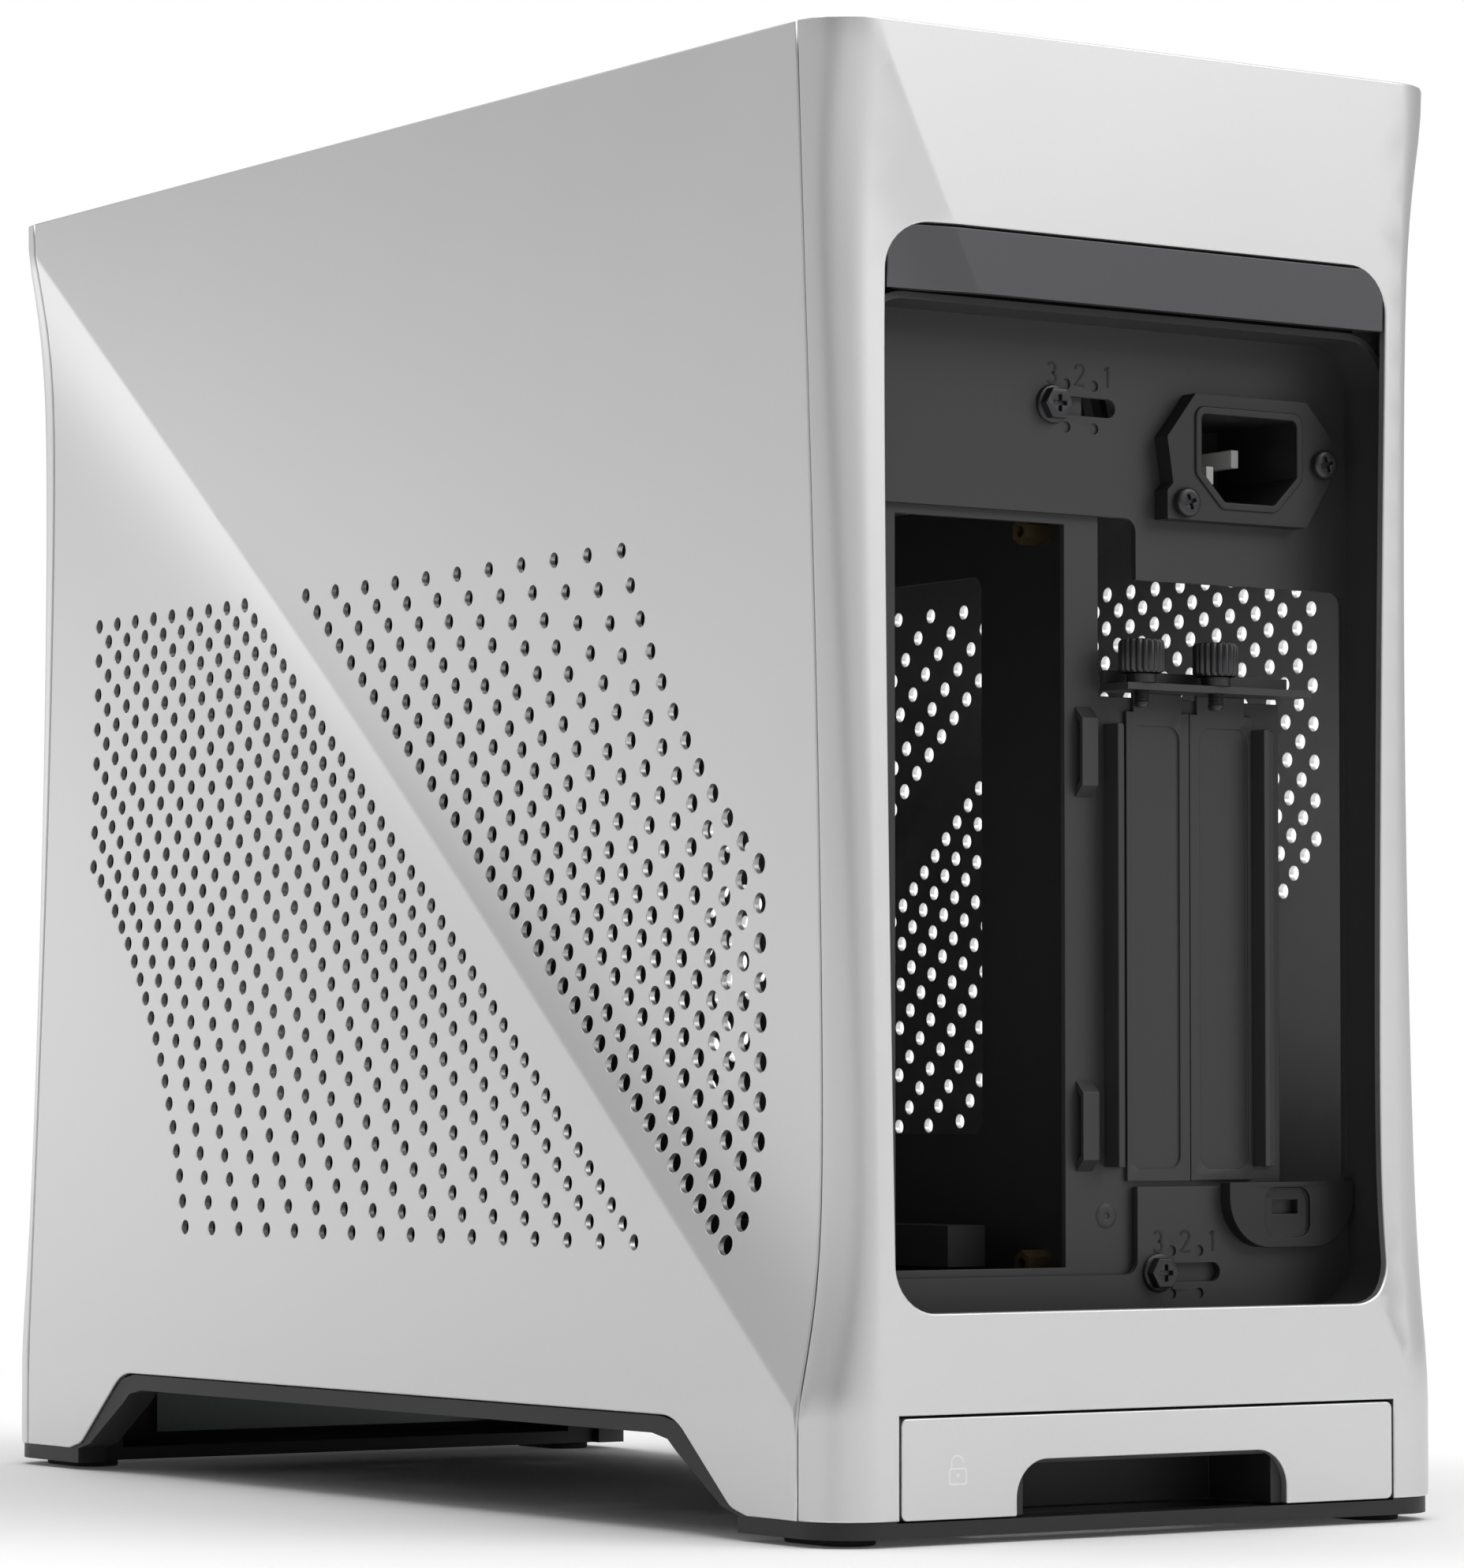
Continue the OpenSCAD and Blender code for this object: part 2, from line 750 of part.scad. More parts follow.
module panel_studs_left() {
    color("gainsboro")
        rotate([0, 0, 180])
            right_studs();
}

// Top panel with two columns of slots, its locating pegs and the dust filter under it
top_panel_t = 3;
top_panel_drop = 0.4;
top_panel_gap = 0.5;
top_slot_l = 52;
top_slot_w = 4;
top_slot_pitch = 8.5;
top_slot_span = 250;
top_slot_x = 32;
module top_panel() {
    z1 = case_h - top_panel_drop;
    count = floor(top_slot_span / top_slot_pitch / 2);
    color(silver)
        translate([0, 0, z1 - top_panel_t])
            linear_extrude(height = top_panel_t)
                difference() {
                    plan(skin_t + top_panel_gap + top_panel_t * flare_share);
                    for (i = [-count:count])
                        for (x = [-top_slot_x, top_slot_x])
                            translate([0, i * top_slot_pitch])
                                rounded(x - top_slot_l / 2, x + top_slot_l / 2, -top_slot_w / 2,
                                    top_slot_w / 2,
                                    top_slot_w / 2 - sliver);
                }
}

module top_panel_pegs() {
    color(plastic)
        for (x = [-peg_x, peg_x])
            for (y = [-peg_y, peg_y])
                rod_z(x, y, frame_top - peg_tip, case_h - top_panel_drop - top_panel_t, peg_d);
}

filter_x = 58;
filter_l = 252;
filter_rim = 5;
filter_rows = 20;
filter_t = 1.5;
filter_screw_d = 9;
module top_filter() {
    z0 = top_z;
    step = (filter_l - filter_rim) / filter_rows;
    color(plastic)
        difference() {
            block(-filter_x, filter_x, -filter_l / 2, filter_l / 2, z0, z0 + filter_t);
            for (i = [0:filter_rows - 1])
                for (x = [-filter_x + filter_rim, filter_rim / 2])
                    block(x, x + filter_x - 1.5 * filter_rim, -filter_l / 2 + filter_rim + i * step,
                        -filter_l / 2 + (i + 1) * step, z0 - cut, z0 + filter_t + cut);
            fan_holes(z0 - cut, z0 + filter_t + cut, filter_screw_d);
        }
}

// Spine: the motherboard tray, its rear and front plates and what they carry
tray_right = tray_x + plate_t;
tray_z0 = 50;
tray_z1 = 222;
spine_gap = 0.5;
spine_y = recess_y - plate_t - spine_gap;
plate_y = spine_y - plate_t;
tray_front_y = front_y + fit + plate_t;
board_gap = 1;
board_rear_y = plate_y - board_gap;
hole_in = 10.16;
board_y1 = board_rear_y - hole_in;
board_y0 = board_y1 - board_hole_l;
board_z = io_z + io_h / 2;
window_cpu_l = 110;
window_cpu_h = 122;
cpu_rise = 10;
cpu_z = board_z + cpu_rise;
cable_slot_l = 40;
cable_slot_h = 14;
cable_slot_zs = [84, 190];
cable_slot_y = -40;

module tray_outline() {
    difference() {
        translate([tray_front_y, tray_z0])
            square([plate_y - tray_front_y, tray_z1 - tray_z0]);
        rounded((board_y0 + board_y1 - window_cpu_l) / 2, (board_y0 + board_y1 + window_cpu_l) / 2,
            cpu_z - window_cpu_h / 2, cpu_z + window_cpu_h / 2, window_r);
        for (z = cable_slot_zs)
            rounded(cable_slot_y - cable_slot_l / 2, cable_slot_y + cable_slot_l / 2, z - cable_slot_h / 2,
                z + cable_slot_h / 2, cable_slot_h / 2 - sliver);
        translate([riser_y0 - riser_gap, tray_z0 - cut])
            square([riser_y1 - riser_y0 + 2 * riser_gap, riser_foot_z + riser_t - tray_z0 + cut]);
        for (y = [board_y0, board_y1])
            for (z = [-1, 1])
                translate([y, board_z + z * board_hole_h / 2])
                    circle(d = standoff_bore, $fn = 32);
    }
}

module spine_tray() {
    color(steel)
        sideways(tray_x, tray_right)
            tray_outline();
}

// Rear plate of the spine, with the aperture for the board's sockets and two slots
io_x0 = 6.84;
plate_right_x = -52;
plate_step_x = -2.3;
plate_left_x = 63;
plate_z0 = 49;
plate_z1 = 222;
slot_top_z = 178;
top_tab_x0 = 2;
top_tab_x1 = 21;
top_tab_z = 249;
slot_x = -16.5;
slot_w = 15;
slot_z0 = 79;
slot_z1 = 169;
screw_hole_d = 3.2;

module spine_rear_plate() {
    color(steel)
        upright(plate_y, spine_y)
            difference() {
                union() {
                    translate([plate_step_x, plate_z0])
                        square([plate_left_x - plate_step_x, plate_z1 - plate_z0]);
                    translate([plate_right_x, plate_z0])
                        square([plate_step_x - plate_right_x, slot_top_z - plate_z0]);
                    translate([top_tab_x0, plate_z1])
                        square([top_tab_x1 - top_tab_x0, top_tab_z - plate_z1]);
                }
                translate([io_x0, io_z])
                    square([io_w, io_h]);
                for (i = [0, 1])
                    translate([slot_x - i * slot_pitch - slot_w / 2, slot_z0])
                        square([slot_w, slot_z1 - slot_z0]);
                translate([adjust_top_x, adjust_top_z])
                    circle(d = screw_hole_d, $fn = 32);
                translate([adjust_foot_x, adjust_foot_z])
                    circle(d = screw_hole_d, $fn = 32);
            }
}

// Front plate of the spine: two guide screws run in slots of the front frame
front_plate_x0 = -22;
front_plate_x1 = 44;
front_plate_z1 = 278;
module spine_front_plate() {
    color(steel)
        upright(front_y + fit, tray_front_y)
            difference() {
                translate([front_plate_x0, tray_z0])
                    square([front_plate_x1 - front_plate_x0, front_plate_z1 - tray_z0]);
                rounded(front_plate_x0 + 8 * plate_t, front_plate_x1 - 8 * plate_t,
                    front_hole_z0 + 2 * opening_r,
                    front_hole_z1, opening_r);
                for (z = [guide_z0, guide_z1])
                    translate([guide_x, z])
                        circle(d = guide_d + 2 * hair, $fn = 32);
            }
}

guide_head_d = 7;
guide_head_t = 2.4;
module guide_screws() {
    color([0.18, 0.18, 0.19])
        for (z = [guide_z0, guide_z1]) {
            rod_y(guide_x, front_y - plate_t - cut, tray_front_y, z, guide_d);
            rod_y(guide_x, tray_front_y, tray_front_y + guide_head_t, z, guide_head_d);
        }
}

// Small bridges that a cable tie passes behind, beside the slots
loop_x0 = -0.4;
loop_w = 4.4;
loop_h = 19.6;
loop_t = 1;
loop_rise = 2.6;
loop_zs = [156, 76];
module tie_loops() {
    color(steel)
        for (z = loop_zs)
            sideways(loop_x0, loop_x0 + loop_w)
                difference() {
                    polygon([[spine_y, z], [spine_y + loop_rise, z + loop_rise],
                        [spine_y + loop_rise, z + loop_h - loop_rise], [spine_y, z + loop_h]]);
                    polygon([[spine_y, z + 2 * loop_t], [spine_y + loop_rise - loop_t,
                        z + loop_rise + loop_t],
                        [spine_y + loop_rise - loop_t, z + loop_h - loop_rise - loop_t],
                        [spine_y, z + loop_h - 2 * loop_t]]);
                }
}

// Two raised rails beside the slot covers
rail_z0 = 77;
rail_z1 = 172;
rail_rise = 5.2;
rail_left_x = -3.6;
rail_right_x = -49.6;
rail_w = 4.6;
rail_right_w = 5.8;
module slot_guides() {
    color(steel) {
        block(rail_left_x - rail_w, rail_left_x, spine_y, spine_y + plate_t, rail_z0, rail_z1);
        block(rail_left_x - plate_t, rail_left_x, spine_y, spine_y + rail_rise, rail_z0, rail_z1);
        block(rail_right_x, rail_right_x + rail_right_w, spine_y, spine_y + plate_t, rail_z0, rail_z1);
        block(rail_right_x + rail_right_w - plate_t, rail_right_x + rail_right_w, spine_y,
            spine_y + rail_rise,
            rail_z0, rail_z1);
    }
}

// Slot covers: thin plates with an embossed panel, side by side at the slot pitch
cover_w = 17.2;
cover_z0 = 74;
cover_z1 = 175;
cover_t = 1;
emboss_w = 13.4;
emboss_shift = 0.8;
emboss_z0 = 76.5;
emboss_z1 = 172;
emboss_t = 0.5;
cover_inner_x = -17.7;
cover_outer_x = -35.1;
shelf_z = 179;
shelf_x0 = -53.2;
shelf_x1 = -2.6;
shelf_w = 10;
shelf_y1 = spine_y + shelf_w;
thumb_y = 169;
thumb_xs = [-8.1, -28.4];
thumb_d = 10;
thumb_head_h = 7.2;
thumb_collar_h = 2.2;
thumb_collar_d = 6.4;
thumb_thread_d = 3.4;
thumb_tip = 3.6;
knurl_t = 0.35;
knurl_w = 0.6;
thumb_cross_w = 1;

module slot_cover(x, shift) {
    difference() {
        union() {
            block(x - cover_w / 2, x + cover_w / 2, spine_y, spine_y + cover_t, cover_z0, cover_z1);
            block(x - cover_w / 2 + skin_t, x + cover_w / 2 - skin_t, spine_y, spine_y + cover_t, cover_z1,
                shelf_z);
        }
        upright(spine_y + cover_t - emboss_t, spine_y + cover_t + cut)
            rounded(x + shift - emboss_w / 2, x + shift + emboss_w / 2, emboss_z0, emboss_z1, window_r);
    }
}

module slot_cover_inner() {
    color(steel)
        slot_cover(cover_inner_x, emboss_shift);
}

module slot_cover_outer() {
    color(steel)
        slot_cover(cover_outer_x, -emboss_shift);
}

// Shelf above the slots: the thumb screws clamp the cards' tabs to it
module slot_retainer() {
    color(steel)
        difference() {
            union() {
                block(shelf_x0, shelf_x1, spine_y, shelf_y1, shelf_z, shelf_z + plate_t);
                block(shelf_x0, shelf_x1, spine_y, spine_y + plate_t, shelf_z, shelf_z + 3 * plate_t);
            }
            for (x = thumb_xs)
                rod_z(x, thumb_y, shelf_z - cut, shelf_z + plate_t + cut, thumb_thread_d + 2 * hair);
        }
}

module thumb_screw(x) {
    head_z = shelf_z + plate_t + thumb_collar_h;
    head_top = head_z + thumb_head_h;
    color([0.16, 0.16, 0.17]) {
        rod_z(x, thumb_y, shelf_z - thumb_tip, head_z, thumb_thread_d);
        rod_z(x, thumb_y, shelf_z + plate_t + hair, head_z, thumb_collar_d);
        difference() {
            rod_z(x, thumb_y, head_z, head_top, thumb_d);
            for (a = [0:18:359])
                translate([x, thumb_y, 0])
                    rotate([0, 0, a])
                        block(thumb_d / 2 - knurl_t, thumb_d / 2 + cut, -knurl_w / 2, knurl_w / 2,
                            head_z + knurl_w, head_top - knurl_w);
            for (a = [0, 90])
                translate([x, thumb_y, 0])
                    rotate([0, 0, a])
                        block(-thumb_d / 4, thumb_d / 4, -thumb_cross_w / 2, thumb_cross_w / 2,
                            head_top - thumb_cross_w, head_top + cut);
        }
    }
}

module thumb_screw_inner() {
    thumb_screw(thumb_xs[0]);
}

module thumb_screw_outer() {
    thumb_screw(thumb_xs[1]);
}

module board_standoffs() {
    color([0.72, 0.58, 0.3])
        for (y = [board_y0, board_y1])
            for (s = [-1, 1])
                difference() {
                    translate([tray_right, y, board_z + s * board_hole_h / 2])
                        rotate([0, 90, 0])
                            cylinder(d = standoff_af / cos(30), h = standoff_h, $fn = 6);
                    rod_x(tray_right - cut, tray_right + standoff_h + cut, y, board_z + s * board_hole_h / 2,
                        standoff_bore);
                }
}

// Riser: a plug for the board's slot, a ribbon under the board and a socket for the card
riser_y0 = 52;
riser_y1 = 141;
riser_gap = 2;
riser_t = 1;
riser_foot_z = 52.5;
riser_plug_x = 13;
riser_plug_w = 10;
riser_plug_z0 = 55.5;
riser_plug_h = 9;
riser_socket_x = -9;
riser_socket_w = 7.6;
riser_socket_z0 = 55;
riser_socket_h = 13;
riser_slot_w = 1.8;
riser_slot_h = 8;
module riser_plug() {
    color(plastic)
        difference() {
            block(riser_plug_x, riser_plug_x + riser_plug_w, riser_y0, riser_y1, riser_plug_z0,
                riser_plug_z0 + riser_plug_h);
            block(riser_plug_x - cut, riser_plug_x + riser_plug_w * 0.6, riser_y0 + riser_gap,
                riser_y1 - riser_gap, riser_plug_z0 + riser_plug_h / 2 - riser_slot_w / 2,
                riser_plug_z0 + riser_plug_h / 2 + riser_slot_w / 2);
        }
}

module riser_ribbon() {
    x0 = riser_socket_x;
    x1 = riser_plug_x + riser_plug_w / 2;
    color([0.1, 0.1, 0.11]) {
        block(x0 - riser_t / 2, x1 + riser_t / 2, riser_y0 + riser_gap, riser_y1 - riser_gap, riser_foot_z,
            riser_foot_z + riser_t);
        block(x0 - riser_t / 2, x0 + riser_t / 2, riser_y0 + riser_gap, riser_y1 - riser_gap, riser_foot_z,
            riser_socket_z0);
        block(x1 - riser_t / 2, x1 + riser_t / 2, riser_y0 + riser_gap, riser_y1 - riser_gap, riser_foot_z,
            riser_plug_z0);
    }
}

module riser_socket() {
    color(plastic)
        difference() {
            block(riser_socket_x - riser_socket_w / 2, riser_socket_x + riser_socket_w / 2, riser_y0,
                riser_y1,
                riser_socket_z0, riser_socket_z0 + riser_socket_h);
            block(riser_socket_x - riser_slot_w / 2, riser_socket_x + riser_slot_w / 2, riser_y0 + riser_gap,
                riser_y1 - riser_gap, riser_socket_z0 + riser_socket_h - riser_slot_h,
                riser_socket_z0 + riser_socket_h + cut);
        }
}

// Screws that hold the spine in one of its numbered positions
adjust_flange_d = 8.4;
adjust_flange_t = 0.9;
adjust_hex_d = 7.4;
adjust_hex_t = 2;
adjust_shank_d = 3;
cross_w = 0.9;
cross_l = 3.6;
module adjust_screw(x, z) {
    y0 = recess_y + hair;
    y1 = y0 + adjust_flange_t + adjust_hex_t;
    color([0.16, 0.16, 0.17])
        difference() {
            union() {
                rod_y(x, plate_y - plate_t, y0, z, adjust_shank_d);
                rod_y(x, y0, y0 + adjust_flange_t, z, adjust_flange_d);
                translate([x, y0 + adjust_flange_t, z])
                    rotate([-90, 0, 0])
                        cylinder(d = adjust_hex_d, h = adjust_hex_t, $fn = 6);
            }
            block(x - cross_l / 2, x + cross_l / 2, y1 - cross_w, y1 + cut, z - cross_w / 2, z + cross_w / 2);
            block(x - cross_w / 2, x + cross_w / 2, y1 - cross_w, y1 + cut, z - cross_l / 2, z + cross_l / 2);
        }
}

module adjust_screw_top() {
    adjust_screw(adjust_top_x, adjust_top_z);
}

module adjust_screw_bottom() {
    adjust_screw(adjust_foot_x, adjust_foot_z);
}

// Tab with an anchor slot for a security lock, at the foot of the recess
tab_x = -51;
tab_w = 34.6;
tab_z0 = 59.4;
tab_z1 = 73.6;
tab_t = 3.4;
tab_r = 11;
anchor_w = 7;
anchor_h = 3;
anchor_x = -49.8;
anchor_z = 68.2;
anchor_frame_w = 12.6;
anchor_frame_z0 = 61.6;
anchor_frame_z1 = 72.4;
anchor_frame_t = 1;
module security_tab() {
    x0 = tab_x - tab_w / 2;
    x1 = tab_x + tab_w / 2;
    color(plastic)
        difference() {
            upright(recess_y, recess_y + tab_t)
                difference() {
                    union() {
                        for (x = [x0 + tab_r, x1 - tab_r])
                            translate([x, tab_z0 + tab_r])
                                circle(r = tab_r, $fn = 64);
                        translate([x0 + tab_r, tab_z0])
                            square([tab_w - 2 * tab_r, tab_z1 - tab_z0]);
                        translate([x0, tab_z0 + tab_r])
                            square([tab_w, tab_z1 - tab_z0 - tab_r]);
                    }
                    translate([x0 - cut, tab_z1])
                        square([tab_w + 2 * cut, 2 * tab_r]);
                    translate([anchor_x - anchor_w / 2, anchor_z - anchor_h / 2])
                        square([anchor_w, anchor_h]);
                }
            upright(recess_y + tab_t - anchor_frame_t, recess_y + tab_t + cut)
                rounded(anchor_x - anchor_frame_w / 2, anchor_x + anchor_frame_w / 2, anchor_frame_z0,
                    anchor_frame_z1, window_r);
        }
}

// Mains inlet with its flange, three pins and two screws
inlet_flange_t = 4.6;
inlet_depth = 26;
inlet_wall = 1.6;
socket_w = 26.4;
socket_h = 18.8;
socket_chamfer = 6.4;
ear_h = 6.2;
ear_nick = 1.6;
inlet_left_up = 5.6;
inlet_right_up = 4;
inlet_half_w = 22.4;
inlet_left_w = 24.1;
inlet_top_h = 13.8;
inlet_corner_w = 7.8;
pin_t = 2;
pin_h = 4;
pin_l = 14;
pin_pitch = 14;
pin_rise = 2;
inlet_head_d = 6.4;
inlet_head_t = 1.8;

module inlet_outline() {
    x0 = inlet_x - inlet_left_w;
    x1 = inlet_x + inlet_half_w;
    z0 = inlet_z - inlet_top_h;
    z1 = inlet_z + inlet_top_h;
    polygon([[x1, inlet_z + inlet_right_up], [x1 - inlet_corner_w, z1], [x0 + inlet_corner_w, z1],
        [x0, inlet_z + inlet_left_up], [x0, inlet_z - ear_nick], [x0 + inlet_corner_w, z0], [x1, z0],
        [x1, z0 + ear_h], [x1 - ear_nick, z0 + ear_h + ear_nick]]);
}

module socket_outline(grow) {
    w = socket_w / 2 + grow;
    h = socket_h / 2 + grow;
    polygon([[inlet_x + w, inlet_z + h], [inlet_x - w, inlet_z + h], [inlet_x - w,
        inlet_z - h + socket_chamfer],
        [inlet_x - w + socket_chamfer, inlet_z - h], [inlet_x + w - socket_chamfer, inlet_z - h],
        [inlet_x + w, inlet_z - h + socket_chamfer]]);
}

module power_inlet() {
    color(plastic)
        difference() {
            union() {
                upright(recess_y, recess_y + inlet_flange_t)
                    inlet_outline();
                upright(recess_y - inlet_depth, recess_y)
                    socket_outline(inlet_wall);
            }
            upright(recess_y - inlet_depth + 2 * inlet_wall, recess_y + inlet_flange_t + cut)
                socket_outline(0);
            for (p = [inlet_screw_1, inlet_screw_2])
                rod_y(p[0], recess_y - cut, recess_y + inlet_flange_t + cut, p[1], inlet_hole_d);
        }
}

module inlet_pins() {
    y0 = recess_y - inlet_depth + 2 * inlet_wall;
    color([0.8, 0.8, 0.8])
        for (p = [[-pin_pitch / 2, pin_rise], [pin_pitch / 2, pin_rise], [0, -pin_rise]])
            block(inlet_x + p[0] - pin_t / 2, inlet_x + p[0] + pin_t / 2, y0, y0 + pin_l,
                inlet_z + p[1] - pin_h / 2, inlet_z + p[1] + pin_h / 2);
}

module inlet_screws() {
    y0 = recess_y + inlet_flange_t;
    color([0.16, 0.16, 0.17])
        for (p = [inlet_screw_1, inlet_screw_2])
            difference() {
                union() {
                    rod_y(p[0], recess_y - plate_t - cut, y0, p[1], inlet_hole_d - 2 * hair);
                    rod_y(p[0], y0, y0 + inlet_head_t, p[1], inlet_head_d);
                }
                block(p[0] - cross_l / 2, p[0] + cross_l / 2, y0 + inlet_head_t - cross_w,
                    y0 + inlet_head_t + cut,
                    p[1] - cross_w / 2, p[1] + cross_w / 2);
                block(p[0] - cross_w / 2, p[0] + cross_w / 2, y0 + inlet_head_t - cross_w,
                    y0 + inlet_head_t + cut,
                    p[1] - cross_l / 2, p[1] + cross_l / 2);
            }
}

// Internal mains lead from the inlet to a plug that waits for the power supply
lead_d = 6.6;
lead_sides = 10;
lead_points = [[-38.6, 137.4, 230.3], [-38.6, 130, 230.3], [-39.5, 122, 231.5], [-42, 113, 236], [-46,
    104, 245],
    [-51, 94, 258], [-56, 83, 270], [-59, 71, 279], [-60, 58, 283], [-60, 44, 284], [-60, 10, 284],
    [-60, -28, 284], [-60, -50, 284]];

function unit(v) = v / norm(v);
function lead_dir(i) = unit(lead_points[min(i + 1, len(lead_points) - 1)] - lead_points[max(i - 1, 0)]);
function lead_ring(i) =
    let (t = i == 0 || i == len(lead_points) - 1 ? [0, -1, 0] : lead_dir(i), s = unit(cross(t, [0, 0, 1])),
        u = cross(s, t))
    [for (k = [0:lead_sides - 1]) lead_points[i] + lead_d / 2 * (cos(360 * k / lead_sides) * s
        + sin(360 * k / lead_sides) * u)];

module power_lead() {
    n = lead_sides;
    rings = len(lead_points);
    color([0.04, 0.04, 0.04])
        polyhedron(points = [for (i = [0:rings - 1]) for (p = lead_ring(i)) p],
            faces = concat([[for (k = [n - 1:-1:0]) k]],
                [for (i = [0:rings - 2]) for (k = [0:n - 1])
                    for (f = [[i * n + k, i * n + (k + 1) % n, (i + 1) * n + (k + 1) % n],
                        [i * n + k, (i + 1) * n + (k + 1) % n, (i + 1) * n + k]]) f],
                [[for (k = [0:n - 1]) (rings - 1) * n + k]]), convexity = 6);
}

plug_w = 24;
plug_h = 16;
plug_l = 32;
plug_grip_l = 12;
plug_r = 3;
plug_slot_w = 2.6;
plug_slot_h = 4.2;
plug_slot_pitch = 7;
plug_slot_x = 1.5;
module power_lead_plug() {
    p = lead_points[len(lead_points) - 1];
    color([0.04, 0.04, 0.04])
        difference() {
            union() {
                upright(p[1] - plug_l, p[1] - plug_grip_l)
                    rounded(p[0] - plug_h / 2, p[0] + plug_h / 2, p[2] - plug_w / 2, p[2] + plug_w / 2,
                        plug_r);
                upright(p[1] - plug_grip_l, p[1])
                    rounded(p[0] - plug_h / 3, p[0] + plug_h / 3, p[2] - plug_w / 3, p[2] + plug_w / 3,
                        plug_r);
            }
            for (i = [-1:1])
                let (x = p[0] + (i == 0 ? 1 : -1) * plug_slot_x, z = p[2] + i * plug_slot_pitch)
                block(x - plug_slot_w / 2, x + plug_slot_w / 2, p[1] - plug_l - cut, p[1] - plug_grip_l,
                    z - plug_slot_h / 2, z + plug_slot_h / 2);
        }
}

// Bracket for a small power supply, fixed to the spine's tray
psu_z = 200;
psu_x1 = 68;
psu_y0 = -152;
psu_y1 = -24;
psu_hole_l = 113;
psu_hole_w = 51.5;
psu_hole_d = 4;
psu_flange_h = 18;
psu_rim = 6;
module psu_bracket() {
    cx = tray_right + plate_t + (psu_x1 - tray_right - plate_t) / 2;
    cy = (psu_y0 + psu_y1) / 2;
    color(steel)
        difference() {
            union() {
                block(tray_right, psu_x1, psu_y0, psu_y1, psu_z, psu_z + plate_t);
                block(tray_right, tray_right + plate_t, psu_y0, psu_y1, psu_z, psu_z + psu_flange_h);
            }
            translate([cx, cy, psu_z - cut])
                linear_extrude(height = plate_t + 2 * cut)
                    rounded(-psu_hole_w / 2 + psu_rim, psu_hole_w / 2 - psu_rim, -psu_hole_l / 2 + psu_rim,
                        psu_hole_l / 2 - psu_rim, window_r);
            for (sx = [-1, 1])
                for (sy = [-1, 1])
                    rod_z(cx + sx * psu_hole_w / 2, cy + sy * psu_hole_l / 2, psu_z - cut,
                        psu_z + plate_t + cut,
                        psu_hole_d);
        }
}

// Fans: square frames on the floor, with a rotor on a shaft in each
fan_bore_d = 115;
fan_hub_d = 38;
fan_strut_w = 5;
fan_base_t = 3;
boss_d = 9;
boss_h = 15;
shaft_d = 3;
shaft_gap = 0.1;
rotor_d = 110;
cup_t = 1.6;
cup_gap = 0.8;
blade_t = 1.6;
blade_pitch = 34;
fan_rim = 4;
fan_neck = 10;
fan_corner = 15;
module fan_frame(y) {
    z0 = floor_top;
    color(plastic)
        difference() {
            union() {
                difference() {
                    translate([0, y, z0])
                        linear_extrude(height = fan_t)
                            rounded(-fan_w / 2, fan_w / 2, -fan_w / 2, fan_w / 2, fan_rim);
                    rod_z(0, y, z0 - cut, z0 + fan_t + cut, fan_bore_d);
                    for (a = [0:90:270])
                        translate([0, y, 0])
                            rotate([0, 0, a])
                                block(fan_bore_d / 2 - fan_neck, fan_w / 2 + cut, -fan_w / 2 + fan_corner,
                                    fan_w / 2 - fan_corner, z0 + fan_rim, z0 + fan_t - fan_rim);
                }
                difference() {
                    rod_z(0, y, z0, z0 + fan_t, fan_bore_d + 2 * cup_t);
                    rod_z(0, y, z0 - cut, z0 + fan_t + cut, fan_bore_d);
                }
                rod_z(0, y, z0, z0 + fan_base_t, fan_hub_d);
                rod_z(0, y, z0, z0 + boss_h, boss_d);
                for (a = [20:90:290])
                    translate([0, y, 0])
                        rotate([0, 0, a])
                            block(fan_hub_d / 2 - cut, fan_bore_d / 2 + cup_t / 2, -fan_strut_w / 2,
                                fan_strut_w / 2,
                                z0, z0 + fan_base_t);
            }
            rod_z(0, y, z0 + cup_t, z0 + boss_h + cut, shaft_d + 2 * shaft_gap);
            for (sx = [-1, 1])
                for (sy = [-1, 1])
                    rod_z(sx * fan_pitch / 2, y + sy * fan_pitch / 2, z0 - cut, z0 + fan_t + cut, fan_hole_d);
        }
}

module fan_frame_front() {
    fan_frame(-fan_y);
}

module fan_frame_rear() {
    fan_frame(fan_y);
}

module fan_rotor(y) {
    z0 = floor_top + fan_base_t + cup_gap;
    z1 = floor_top + fan_t - cup_gap;
    color([0.1, 0.1, 0.105])
        union() {
            difference() {
                rod_z(0, y, z0, z1, fan_hub_d);
                rod_z(0, y, z0 - cut, z1 - cup_t, fan_hub_d - 2 * cup_t);
            }
            rod_z(0, y, floor_top + cup_t + cup_gap, z1 - cup_t, shaft_d);
            intersection() {
                difference() {
                    rod_z(0, y, z0 + cup_gap, z1 - cup_gap, rotor_d);
                    rod_z(0, y, z0, z1, fan_hub_d - cup_t);
                }
                for (i = [0:fan_blades - 1])
                    translate([0, y, (z0 + z1) / 2])
                        rotate([0, 0, 360 * i / fan_blades])
                            rotate([blade_pitch, 0, 0])
                                block(0, rotor_d, -fan_t, fan_t, -blade_t / 2, blade_t / 2);
            }
        }
}

module fan_rotor_front() {
    fan_rotor(-fan_y);
}

module fan_rotor_rear() {
    fan_rotor(fan_y);
}

fan_screw_d = 4;
fan_head_d = 7.4;
fan_head_t = 1.6;
fan_screw_l = 6;
module fan_screws() {
    color([0.16, 0.16, 0.17]) {
        fan_holes(floor_z, floor_top + fan_screw_l, fan_screw_d);
        fan_holes(floor_z - fan_head_t, floor_z, fan_head_d);
    }
}

